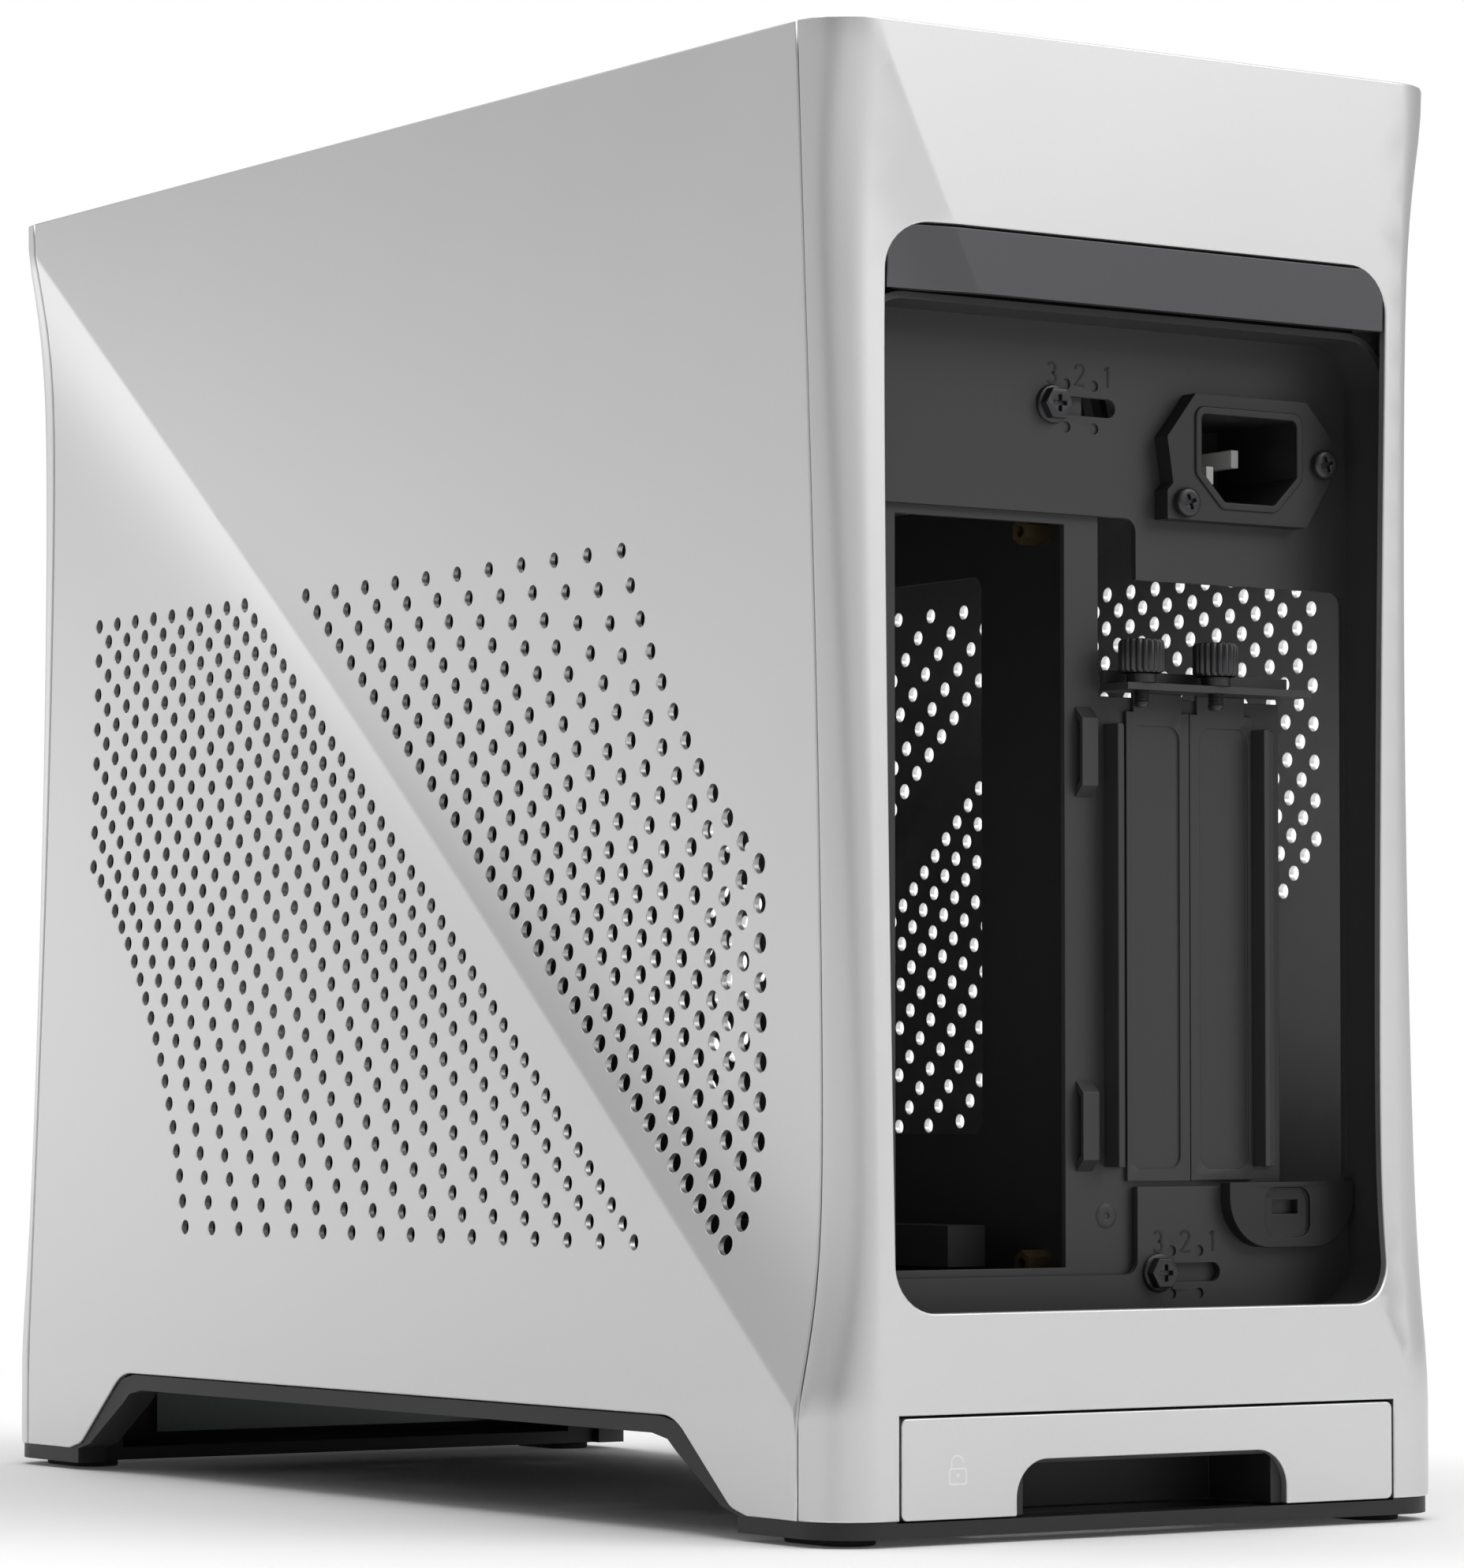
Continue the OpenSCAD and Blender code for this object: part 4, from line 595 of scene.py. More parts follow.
@dataclass
class Sheet:
    """A plate drawn flat and laid on a surface, with every edge rounded.

    Its skin is a triangle net over the drawing. Each edge is a quarter round on the outer side, a wall, and a
    narrow chamfer on the inner side: at angle a the round lies bevel * (1 - sin a) inside the edge and
    bevel * (1 - cos a) below the surface, and its normal leans from the surface's to the edge's by a.

    Attributes:
        outline: the outer edge, counter-clockwise.
        place: maps flat places and depths to points in space.
        thickness: how thick the plate is.
        holes: the edges of its cut-outs, counter-clockwise.
        bevel: the radius of the rounded edges.
        hole_bevel: the same for the cut-outs.
        steps: strips in each quarter round.
        hole_steps: the same for the cut-outs.
        inner_bevel: the width of the inner side's chamfer.
        spots: more places that the net passes through.
        lines: open lines that the net follows.
        probe: half the step with which directions on the surface are found.
        chunk: how many places the spots are set against at a time.
        snap: places closer together than this are one.
        gap_share: how far a spot keeps from a fixed place, as a share of the spots' own spacing.
        least_wall: the least height of the wall between the two rims.
    """

    outline: Array
    place: Place
    thickness: float
    holes: list[Array] = field(default_factory=list)
    bevel: float = 0.3
    hole_bevel: float | None = None
    steps: int = 3
    hole_steps: int | None = None
    inner_bevel: float = 0.1
    spots: Array | None = None
    lines: list[Array] = field(default_factory=list)
    probe: float = 0.04
    chunk: int = 1500
    snap: float = 1e-7
    gap_share: float = 0.33
    least_wall: float = 1e-3

    def free_spots(self, rims: list[Array], places: Array) -> Array:
        """The spots that lie inside the outline, outside the cut-outs and not too near a fixed place.

        Args:
            rims: the outer rim and those of the cut-outs.
            places: the fixed places.

        Returns:
            The spots to keep.
        """
        spots = self.spots[inside(self.spots, rims[0])]
        gap = self.gap_share * math.sqrt(np.prod(np.ptp(spots, axis=0)) / len(spots))
        near = np.full(len(spots), np.inf)
        for part in np.array_split(places, max(1, len(places) // self.chunk)):
            d = spots[:, None, :] - part[None, :, :]
            near = np.minimum(near, (d * d).sum(2).min(1))
        spots = spots[near > gap * gap]
        for hole in rims[1:]:
            within = np.all((spots > hole.min(0)) & (spots < hole.max(0)), axis=1)
            within[within] = inside(spots[within], hole)
            spots = spots[~within]
        return spots

    def net(self, rims: list[Array]) -> tuple[Array, Faces, list[Array]]:
        """The flat triangle net between the rims.

        Args:
            rims: the outer rim and those of the cut-outs.

        Returns:
            The net's places, its triangles, and for each rim the numbers of its points.
        """
        fixed = rims + self.lines
        start = np.cumsum([0] + [len(loop) for loop in fixed])
        edges: list[tuple[int, int]] = []
        for n, loop in enumerate(fixed):
            ids = np.arange(len(loop)) + start[n]
            ends = np.roll(ids, -1) if n < len(rims) else ids[1:]
            edges.extend(zip(ids.tolist(), ends.tolist()))
        places = np.vstack(fixed)
        if self.spots is not None:
            places = np.vstack([places, self.free_spots(rims, places)])
        out = delaunay_2d_cdt([Vector(p) for p in places.tolist()], edges, [], 0, self.snap, True)
        new = np.array([tuple(v) for v in out[0]])
        number = np.full(len(places), -1)
        for i, old in enumerate(out[3]):
            number[old] = i
        ids = [number[start[n]:start[n + 1]] for n in range(len(rims))]
        return new, self.kept(new, np.array(out[2]), rims, ids).tolist(), ids

    @staticmethod
    def kept(places: Array, tris: Array, rims: list[Array], ids: list[Array]) -> Array:
        """Drops the triangles outside the outline, in a cut-out or without area, and turns the rest alike.

        Args:
            places: the net's places.
            tris: its triangles.
            rims: the outer rim and those of the cut-outs.
            ids: for each rim the numbers of its points.

        Returns:
            The triangles to keep, counter-clockwise.
        """
        owner = np.full(len(places), -1)
        for n, own in enumerate(ids):
            owner[own] = n
        owned = owner[tris]
        same = (owned[:, 0] >= 0) & (owned[:, 0] == owned[:, 1]) & (owned[:, 0] == owned[:, 2])
        centres = places[tris].mean(1)
        keep = inside(centres, rims[0])
        for n in np.unique(owned[same, 0]):
            mine = np.flatnonzero(same & (owned[:, 0] == n))
            if n > 0:
                keep[mine] &= ~inside(centres[mine], rims[n])
        tris = tris[keep]
        a, b, c = places[tris[:, 0]], places[tris[:, 1]], places[tris[:, 2]]
        area = (b[:, 0] - a[:, 0]) * (c[:, 1] - a[:, 1]) - (b[:, 1] - a[:, 1]) * (c[:, 0] - a[:, 0])
        tris[area < 0] = tris[area < 0][:, ::-1]
        return tris[np.abs(area) > TINY]

    def axes(self, u: Array, v: Array, depth: Array) -> tuple[Array, Array, Array]:
        """Unit steps in space along the drawing's two directions, and the outward normal.

        Args:
            u: the drawing's places across.
            v: the drawing's places upwards.
            depth: how deep each place is under the surface.

        Returns:
            The two unit steps and the normal, one row for each place.
        """
        e = self.probe
        a = self.place(u + e, v, depth) - self.place(u - e, v, depth)
        b = self.place(u, v + e, depth) - self.place(u, v - e, depth)
        a /= np.linalg.norm(a, axis=1)[:, None]
        b /= np.linalg.norm(b, axis=1)[:, None]
        n = np.cross(a, b)
        return a, b, n / np.linalg.norm(n, axis=1)[:, None]

    def build(self) -> tuple[Array, Faces, Array]:
        """Builds the plate.

        Returns:
            Its points, its faces and a normal for each point.
        """
        loops = [self.outline] + self.holes
        bevels = [self.bevel] + [self.hole_bevel or self.bevel] * len(self.holes)
        counts = [self.steps] + [self.hole_steps or self.steps] * len(self.holes)
        ways = [inset_directions(loop, n == 0) for n, loop in enumerate(loops)]
        flat_net, tris, ids = self.net([loop + way * size for loop, way, size in zip(loops, ways, bevels)])
        u, v = flat_net.T
        n_flat, zero = len(u), np.zeros(len(u))
        up = self.axes(u, v, zero)[2]
        points, normals = [self.place(u, v, zero), self.place(u, v, zero + self.thickness)], [up, -up]
        faces = tris + [[n_flat + t[0], n_flat + t[2], n_flat + t[1]] for t in tris]
        total = 2 * n_flat
        for n, (loop, way, size, count) in enumerate(zip(loops, ways, bevels, counts)):
            low = min(self.inner_bevel, self.thickness - size - self.least_wall)
            turn = np.linspace(0, math.pi / 2, count + 1)[1:]
            rows = [(size * (1 - math.sin(t)), size * (1 - math.cos(t)), t) for t in turn]
            previous = ids[n]
            for inset, depth, angle in rows + [(0.0, self.thickness - low, math.pi / 2)]:
                at = loop + way * inset
                d = np.full(len(loop), depth)
                a, b, here_up = self.axes(at[:, 0], at[:, 1], d)
                out = -(way[:, :1] * a + way[:, 1:] * b)
                out /= np.linalg.norm(out, axis=1)[:, None]
                points.append(self.place(at[:, 0], at[:, 1], d))
                normals.append(math.cos(angle) * here_up + math.sin(angle) * out)
                here = np.arange(len(loop)) + total
                faces.extend(self.strip(previous, here, n == 0))
                previous = here
                total += len(loop)
            faces.extend(self.strip(previous, ids[n] + n_flat, n == 0))
        return np.vstack(points), faces, np.vstack(normals)

    @staticmethod
    def strip(upper: Array, lower: Array, outer: bool) -> Faces:
        """Quads from one ring of points down to the next.

        Args:
            upper: the corner numbers of the upper ring.
            lower: the corner numbers of the lower ring.
            outer: whether the ring is the sheet's outer edge, not a hole's.

        Returns:
            The quads.
        """
        u2, l2 = np.roll(upper, -1), np.roll(lower, -1)
        rows = [upper, lower, l2, u2] if outer else [upper, u2, l2, lower]
        return np.stack(rows, 1).tolist()


def on_rear(y: float) -> Place:
    """A flat surface that looks along +Y: to the right is -X."""
    return lambda u, v, depth: np.stack([-u, y - depth, v], 1)


def on_top(z: float) -> Place:
    """A flat surface that looks up."""
    return lambda u, v, depth: np.stack([u, v, z - depth], 1)


def flat(points: Array, y: float) -> Array:
    """Puts a flat drawing's places on the plane at y that looks along +Y."""
    return np.stack([-points[:, 0], np.full(len(points), y), points[:, 1]], 1)


def raised(outer: Array, inner: Array, low: float, high: float, wrap: bool = False) -> tuple[Array, Faces]:
    """A band between two lines of equal count on a plane that looks along +Y, with walls.

    Args:
        outer: its outer line.
        inner: its inner line.
        low: where its walls start.
        high: where its face lies.
        wrap: joins its ends.

    Returns:
        Points and faces.
    """
    rows = [flat(outer, low), flat(outer, high), flat(inner, high), flat(inner, low)]
    return np.vstack(rows), grid_faces(len(rows), len(outer), wrap)


def revolved(profile: Sequence[Pair], centre: Spot, axis: str, steps: int,
             ripple: Callable[[Array, Array], Array] | None = None) -> tuple[Array, Faces]:
    """A turned shape: a profile of radius and height carried round an axis.

    Args:
        profile: pairs of radius and height, from the foot to the top.
        centre: the axis's foot.
        axis: "Y" or "Z", the way the height runs.
        steps: points round the axis.
        ripple: changes the radius by the radius and the angle, such as a knurl.

    Returns:
        Points and faces.
    """
    p = np.array(profile, float)
    rr, aa = np.meshgrid(p[:, 0], np.arange(steps) * 2 * math.pi / steps, indexing="ij")
    hh = np.repeat(p[:, 1][:, None], steps, 1)
    if ripple:
        rr = ripple(rr, aa)
    x, y = rr * np.cos(aa), rr * np.sin(aa)
    order = (x, y, hh) if axis == "Z" else (y, hh, x)
    points = np.stack([c.ravel() for c in order], 1) + np.array(centre)
    return points, grid_faces(len(p), steps, wrap=True)


# Sculpted skins
@dataclass(frozen=True)
class CaseForm:
    """The case's outer form: a rounded box whose faces are drawn in along a diagonal crease."""

    half_w: float = 82.5
    half_l: float = 183.0
    height: float = 314.0
    corner_x: float = 69.55
    seam_y: float = 170.05
    corner_r: float = 12.95
    foot_z: float = 27.0
    skin_z: float = 5.3
    slope: float = 0.0385
    return_slope: float = 0.21
    draw_in: float = 7.7
    side_top: float = -180.0
    side_foot: float = 170.0
    end_top: float = -71.8
    end_foot: float = 73.4
    end_share: float = 0.7
    least_depth: float = 1e-3
    crease_end: float = 1.5

    def soft_min(self, a: Array, b: float, c: Array) -> Array:
        """The smallest of three depths, rounded: the inverse of the third root of the inverse cubes' sum."""
        least = self.least_depth
        return (np.maximum(a, least) ** -3 + b ** -3 + np.maximum(c, least) ** -3) ** (-1 / 3)

    def crease(self, u: Array, top: float, foot: float) -> Array:
        """Height of the crease at u: a line from the top edge at `top` to the foot band at `foot`."""
        return self.height - (self.height - self.foot_z) * (u - top) / (foot - top)

    def drawn_in(self, u: Array, z: Array, top: float, foot: float) -> Array:
        """How far a face lies inside its box.

        Above the crease the depth grows gently from the top edge and falls steeply towards the crease's far
        end; below it the same is done from the foot band. Both meet at the crease with a change of slope.

        Args:
            u: place along the face.
            z: height.
            top: where the crease starts at the top edge.
            foot: where it ends at the foot band.

        Returns:
            The depth in millimetres.
        """
        h = np.maximum(z, self.foot_z)
        zc = self.crease(u, top, foot)
        above = self.soft_min(self.slope * (self.height - h), self.draw_in,
                              self.slope * (zc - self.foot_z) + self.return_slope * (h - zc))
        below = self.soft_min(self.slope * (h - self.foot_z), self.draw_in,
                              self.slope * (self.height - zc) + self.return_slope * (zc - h))
        return np.where(h >= zc, above, below)

    def side_in(self, y: Array, z: Array) -> Array:
        """Depth of the right side face at (y, z)."""
        return self.drawn_in(y, z, self.side_top, self.side_foot)

    def end_in(self, x: Array, z: Array) -> Array:
        """Depth of the rear face at (x, z)."""
        return self.end_share * self.drawn_in(-x, z, self.end_top, self.end_foot)

    def side_place(self, u: Array, v: Array, depth: Array) -> Array:
        """Maps the right side's drawing (y, z) to space."""
        return np.stack([self.half_w - self.side_in(u, v) - depth, u + 0 * depth, v + 0 * depth], 1)

    def end_place(self, u: Array, v: Array, depth: Array) -> Array:
        """Maps the rear shell's unrolled drawing to space.

        Between the corners u is -x. Past them u goes on along the corner's arc, whose angle is the way beyond
        the corner's start divided by the corner's radius.

        Args:
            u: the drawing's places across.
            v: the heights.
            depth: how deep each place is under the surface.

        Returns:
            The places in space, one row each.
        """
        side = np.sign(u)
        turn = np.maximum(np.abs(u) - self.corner_x, 0.0) / self.corner_r
        flat_x = np.clip(-u, -self.corner_x, self.corner_x)
        own_side = self.side_in(-side * self.seam_y, v)
        x = flat_x - side * (self.corner_r - depth - own_side) * np.sin(turn)
        y = self.seam_y + (self.corner_r - depth - self.end_in(flat_x, v)) * np.cos(turn)
        return np.stack([x, y, v + 0 * depth], 1)

    def crease_lines(self, reach: Pair, ends: Pair, heights: Pair, outline: Array, gap: float,
                     steps: int = 44) -> list[Array]:
        """The crease and a line on each side of it, kept inside the outline.

        Args:
            reach: the first and the last place along the face.
            ends: where the crease starts at the top edge and ends at the foot band.
            heights: the lowest and the highest height to follow.
            outline: the piece's outline.
            gap: how far the side lines lie from the crease, measured in height.
            steps: places along it.

        Returns:
            Up to three open lines.
        """
        lines = []
        us = np.linspace(*reach, steps)
        for shift in (-gap, 0.0, gap):
            vs = self.crease(us, *ends) + shift
            line = np.stack([us, vs], 1)[(vs < heights[1]) & (vs > heights[0])]
            line = line[inside(line, outline)]
            if len(line) > 2:
                lines.append(line)
        return lines


FORM = CaseForm()


@dataclass(frozen=True)
class Arch:
    """The low arch cut out of a side panel's foot."""

    front_y: float = -142.0
    rear_y: float = 145.5
    top_z: float = 24.9
    toe: float = 6.0
    toe_rise: float = 1.5
    shoulder: float = 21.219
    toe_r: float = 7.0
    shoulder_r: float = 13.0
    steps: int = 8

    def points(self) -> Array:
        """The arch from front to rear: a toe, a slope, a rounded shoulder and a level top.

        Returns:
            The arch's places, with its corners rounded.
        """
        a, b, t, z = self.front_y, self.rear_y, self.top_z, FORM.skin_z
        s = self.shoulder
        corners = [(a - self.toe, z), (a, z + self.toe_rise), (a + s, t), (b - s, t), (b, z + self.toe_rise),
                   (b + self.toe, z)]
        radii = [0.0, self.toe_r, self.shoulder_r, self.shoulder_r, self.toe_r, 0.0]
        return filleted(corners, radii, self.steps)


@dataclass(frozen=True)
class Perforation:
    """The two fans of holes that sweep over a side panel.

    The front fan's rows start on the top line, the last ones down the front edge, and end on the foot line.
    The rear fan's rows start on the top line and end down the rear edge. Their bow grows from row to row. A
    pair is a first place and the step to the next one, or a bow's growth and its most; the holes are a row's
    count, what changes it and, at the rear, its least.
    """

    top_z: float = 210.0
    foot_z: float = 61.0
    small_r: float = 1.7
    big_r: float = 2.15
    bow_way: Pair = (0.67, 0.74)
    front_rows: int = 16
    front_turn: int = 8
    front_top: Pair = (-69.0, -9.45)
    front_foot: Pair = (107.0, -13.2)
    front_edge: Pair = (-144.6, -8.6)
    front_holes: tuple[int, int, float, int] = (33, 6, 1.7, 2)
    front_bow: Pair = (1.6, 17.0)
    rear_rows: int = 11
    rear_top: Pair = (-38.0, 13.6)
    rear_first: float = 139.7
    rear_edge: Pair = (148.2, 4.25)
    rear_rise: Pair = (8.3, 0.4)
    rear_holes: tuple[int, float, int] = (36, 2.6, 12)
    rear_bow: Pair = (2.2, 12.0)

    def bowed(self, a: Pair, b: Pair, bow: float, t: Array) -> Array:
        """Places on the quadratic curve from a to b whose middle control point is pushed out by the bow.

        Args:
            a: the row's first place.
            b: its last place.
            bow: how far the middle is pushed out.
            t: the shares of the way, 0 to 1.

        Returns:
            A place for each share.
        """
        c0, c1 = np.array(a), np.array(b)
        c = (c0 + c1) / 2 + bow * np.array(self.bow_way)
        t = t[:, None]
        return (1 - t) ** 2 * c0 + 2 * t * (1 - t) * c + t ** 2 * c1

    def front_row(self, k: int) -> tuple[Array, Array]:
        """Places and radii of the front fan's row k.

        Args:
            k: the row's number, from 0.

        Returns:
            The places and the radii.
        """
        full, more, power, fewer = self.front_holes
        ahead = self.front_turn - k
        if ahead >= 0:
            start = (self.front_top[0] + self.front_top[1] * k, self.top_z)
            count = round(full + more * (ahead / self.front_turn) ** power)
        else:
            start = (self.front_edge[0], self.top_z - self.front_edge[1] * ahead)
            count = full + fewer * ahead
        end = (self.front_foot[0] + self.front_foot[1] * k, self.foot_z)
        bow = min(self.front_bow[0] * k, self.front_bow[1])
        return self.bowed(start, end, bow, np.linspace(0, 1, count)), np.full(count, self.small_r)

    def rear_row(self, k: int) -> tuple[Array, Array]:
        """Places and radii of the rear fan's row k.

        Args:
            k: the row's number, from 0.

        Returns:
            The places and the radii.
        """
        full, fewer, least = self.rear_holes
        end = (self.rear_first, self.foot_z)
        if k > 0:
            end = (self.rear_edge[0] - self.rear_edge[1] / k ** 2,
                   self.foot_z + self.rear_rise[0] * (k - self.rear_rise[1]))
        t = np.linspace(0, 1, max(least, round(full - fewer * k)))
        start = (self.rear_top[0] + self.rear_top[1] * k, self.top_z)
        bow = -min(self.rear_bow[0] * k, self.rear_bow[1])
        return self.bowed(start, end, bow, t), self.small_r + (self.big_r - self.small_r) * t

    def holes(self, steps: int) -> list[Array]:
        """The edges of all holes, with so many points each.

        Args:
            steps: the number of points on an edge.

        Returns:
            A closed line for each hole.
        """
        rows = [self.front_row(k) for k in range(self.front_rows)]
        rows += [self.rear_row(k) for k in range(self.rear_rows)]
        return [circle(y, z, r, steps) for places, radii in rows for (y, z), r in zip(places, radii)]


@dataclass
class SidePanels:
    """The two sculpted side panels, alike after half a turn."""

    shop: Workshop
    edge_y: float = 169.8
    thickness: float = 1.5
    edge_round: float = 0.45
    hole_round: float = 0.2
    crease_gap: float = 0.9
    crease_margin: float = 1.0
    net_step: float = 9.0
    net_rise: float = 7.2
    hole_points: int = 16
    hole_gap: float = 3.2
    middle_gap: float = 2.6
    band_margin: float = 2.0
    band_points: int = 40

    def build(self) -> None:
        """Builds both panels from one sheet."""
        edge, foot_z, top = self.edge_y, FORM.skin_z, FORM.height
        corners = np.array([(edge, foot_z), (edge, top), (-edge, top), (-edge, foot_z)])
        foot = along(np.vstack([corners[3:], Arch().points(), corners[:1]]), self.net_step)
        outline = np.vstack([foot, along(corners, self.net_step)[1:-1]])
        holes = Perforation().holes(self.hole_points)
        reach = edge - self.crease_margin
        lines = FORM.crease_lines((-reach, reach), (FORM.side_top, FORM.side_foot),
                                  (FORM.foot_z, top - FORM.crease_end), outline, self.crease_gap)
        band = np.linspace(self.band_margin - edge, edge - self.band_margin, self.band_points)
        spots = np.vstack([spread(-edge, edge, foot_z, top, self.net_step, self.net_rise),
                           np.stack([band, np.full(len(band), FORM.foot_z)], 1)])
        built = Sheet(outline, FORM.side_place, self.thickness, holes, self.edge_round, self.hole_round,
                      hole_steps=1, spots=spots, lines=self.clear(lines, holes)).build()
        self.shop.plate("side_skin_right", built, "panel_right", ("side_panel_right",))
        self.shop.plate("side_skin_left", built, "panel_left", ("side_panel_left",), turn=True)

    def clear(self, lines: list[Array], holes: list[Array]) -> list[Array]:
        """Cuts lines where they come near a hole, and drops a part that passes one between its places.

        Args:
            lines: the open lines.
            holes: the holes' edges.

        Returns:
            The parts that stay.
        """
        middles = np.array([h.mean(0) for h in holes])
        out = []
        for line in lines:
            for part in runs(line, nearest(line, middles) > self.hole_gap):
                if nearest((part[:-1] + part[1:]) / 2, middles).min() > self.middle_gap:
                    out.append(part)
        return out


def runs(line: Array, good: Array) -> list[Array]:
    """The parts of a line, two places long or more, on which every place is good.

    Args:
        line: the line's places.
        good: whether each place is good.

    Returns:
        The parts, in the line's order.
    """
    parts = np.split(np.arange(len(line)), np.flatnonzero(~good))
    kept = [part[good[part]] for part in parts]
    return [line[part] for part in kept if len(part) > 1]


@dataclass
class EndShells:
    """The U-shaped shells over the two ends.

    A round socket hole is its place, its radius and its number of points. A slot is its place, half its width
    and height, its corner radius and the strips in each corner.
    """

    shop: Workshop
    thickness: float = 2.0
    edge_round: float = 0.45
    reach: float = 89.64
    opening: tuple[float, float, float, float] = (-66.1, 66.1, 47.5, 272.9)
    opening_r: float = 10.0
    opening_steps: int = 10
    opening_step: float = 6.0
    lock_half: float = 65.8
    lock_top: float = 26.7
    edge_step: float = 4.0
    net_step: float = 8.0
    wrap: float = 20.3
    wrap_net: Pair = (1.6, 6.0)
    crease_margins: Pair = (4.0, 1.0)
    crease_gap: float = 1.8
    hole_step: float = 0.8
    hole_gap: float = 1.4
    socket_z: float = 15.5
    socket_fit: float = 0.3
    rounds: tuple[tuple[float, float, int], ...] = ((-46.0, 4.8, 36), (-27.0, 3.2, 28))
    slots: tuple[tuple[float, float, float, float, int], ...] = (
        (-12.0, 4.5, 1.6, 1.6, 8), (8.0, 6.6, 2.9, 0.4, 3), (29.0, 6.6, 2.9, 0.4, 3))

    def sheet(self, outline: Array, holes: list[Array]) -> Sheet:
        """One shell's sheet with its crease and a dense net on its corners.

        Args:
            outline: the shell's unrolled edge.
            holes: the edges of its cut-outs.

        Returns:
            The sheet, on the rear face.
        """
        corner, foot_z, top = FORM.corner_x, FORM.skin_z, FORM.height
        start, end = self.crease_margins
        lines = FORM.crease_lines((FORM.end_top + start, corner - end), (FORM.end_top, FORM.end_foot),
                                  (FORM.foot_z, top - FORM.crease_end), outline, self.crease_gap)
        kept = []
        for line in lines:
            good = np.ones(len(line), bool)
            for hole in holes:
                good &= ~inside(line, hole) & (nearest(line, closed(hole, self.hole_step)) > self.hole_gap)
            kept += runs(line, good)
        spots = [spread(-corner, corner, foot_z, top, self.net_step, self.net_step)]
        for u in (-corner - self.wrap, corner):
            spots.append(spread(u, u + self.wrap, foot_z, top, *self.wrap_net))
        return Sheet(outline, FORM.end_place, self.thickness, holes, self.edge_round, spots=np.vstack(spots),
                     lines=kept)

    def outline(self, notched: bool) -> Array:
        """A shell's unrolled edge; the rear one is cut out at its foot for the lock drawer.

        Args:
            notched: whether the shell is the rear one, with the drawer's notch.

        Returns:
            The closed edge.
        """
        w, top, z, a, b = self.reach, FORM.height, FORM.skin_z, self.lock_half, self.lock_top
        notch = [(-a, z), (-a, b), (a, b), (a, z)] if notched else []
        return closed(np.array([(-w, z), *notch, (w, z), (w, top), (-w, top)]), self.edge_step)

    def build(self) -> None:
        """Builds the rear and the front shell."""
        rim = closed(box_outline(*self.opening, self.opening_r, self.opening_steps), self.opening_step)
        rear = self.sheet(self.outline(True), [rim]).build()
        self.shop.plate("end_skin_rear", rear, "chassis", ("rear_shell",))
        z, fit = self.socket_z, self.socket_fit
        holes = [circle(x, z, r + fit, steps) for x, r, steps in self.rounds]
        holes += [box_outline(x - w - fit, x + w + fit, z - h - fit, z + h + fit, r, steps)
                  for x, w, h, r, steps in self.slots]
        front = self.sheet(self.outline(False), holes).build()
        self.shop.plate("end_skin_front", front, "chassis", ("front_shell",), turn=True)


@dataclass
class TopPanel:
    """The silver lid with its two rows of slots."""

    shop: Workshop
    top_z: float = 313.6
    thickness: float = 3.0
    inset: float = 2.6155
    slot_x: float = 32.0
    slot_l: float = 52.0
    slot_w: float = 4.0
    slot_r: float = 1.98
    slot_steps: int = 6
    pitch: float = 8.5
    count: int = 14
    edge_steps: int = 10
    edge_step: float = 10.0
    edge_round: float = 0.5
    slot_round: float = 0.3
    net_step: float = 9.0

    def build(self) -> None:
        """Builds the lid as one sheet."""
        w, l, r = [size - self.inset for size in (FORM.half_w, FORM.half_l, FORM.corner_r)]
        outline = closed(box_outline(-w, w, -l, l, r, self.edge_steps), self.edge_step)
        sl, sw = self.slot_l / 2, self.slot_w / 2
        slot = box_outline(-sl, sl, -sw, sw, self.slot_r, self.slot_steps)
        holes = [slot + np.array([x, i * self.pitch])
                 for i in range(-self.count, self.count + 1) for x in (-self.slot_x, self.slot_x)]
        sheet = Sheet(outline, on_top(self.top_z), self.thickness, holes, self.edge_round, self.slot_round,
                      spots=spread(-w, w, -l, l, self.net_step, self.net_step))
        self.shop.plate("lid", sheet.build(), "top_cover", ("top_panel",))


@dataclass
class RecessStrip:
    """The dark strip over the recess, sunk a little into the rear face."""

    shop: Workshop
    half: float = 65.6
    low: float = 259.0
    high: float = 272.4
    r: float = 9.5
    r_steps: int = 8
    drop: float = 0.25
    thickness: float = 2.0
    edge_step: float = 5.0
    net: Pair = (5.0, 3.0)
    margin: float = 1.0
    crease_gap: float = 1.2
    crease_points: int = 160

    def place(self, u: Array, v: Array, depth: Array) -> Array:
        """The rear face's own mapping, sunk by the strip's drop."""
        return FORM.end_place(u, v, depth + self.drop)

    def build(self) -> None:
        """Builds the strip."""
        w, a, b = self.half, self.low, self.high
        corners = [(-w, a), (w, a), (w, b), (-w, b)]
        outline = closed(filleted(corners, [0, 0, self.r, self.r], self.r_steps), self.edge_step)
        lines = FORM.crease_lines((-w, w), (FORM.end_top, FORM.end_foot), (a + self.margin, b - self.margin),
                                  outline, self.crease_gap, self.crease_points)
        sheet = Sheet(outline, self.place, self.thickness, spots=spread(-w, w, a, b, *self.net), lines=lines)
        self.shop.plate("recess_strip", sheet.build(), "chassis", ("rear_fascia",), Slot.STRIP)


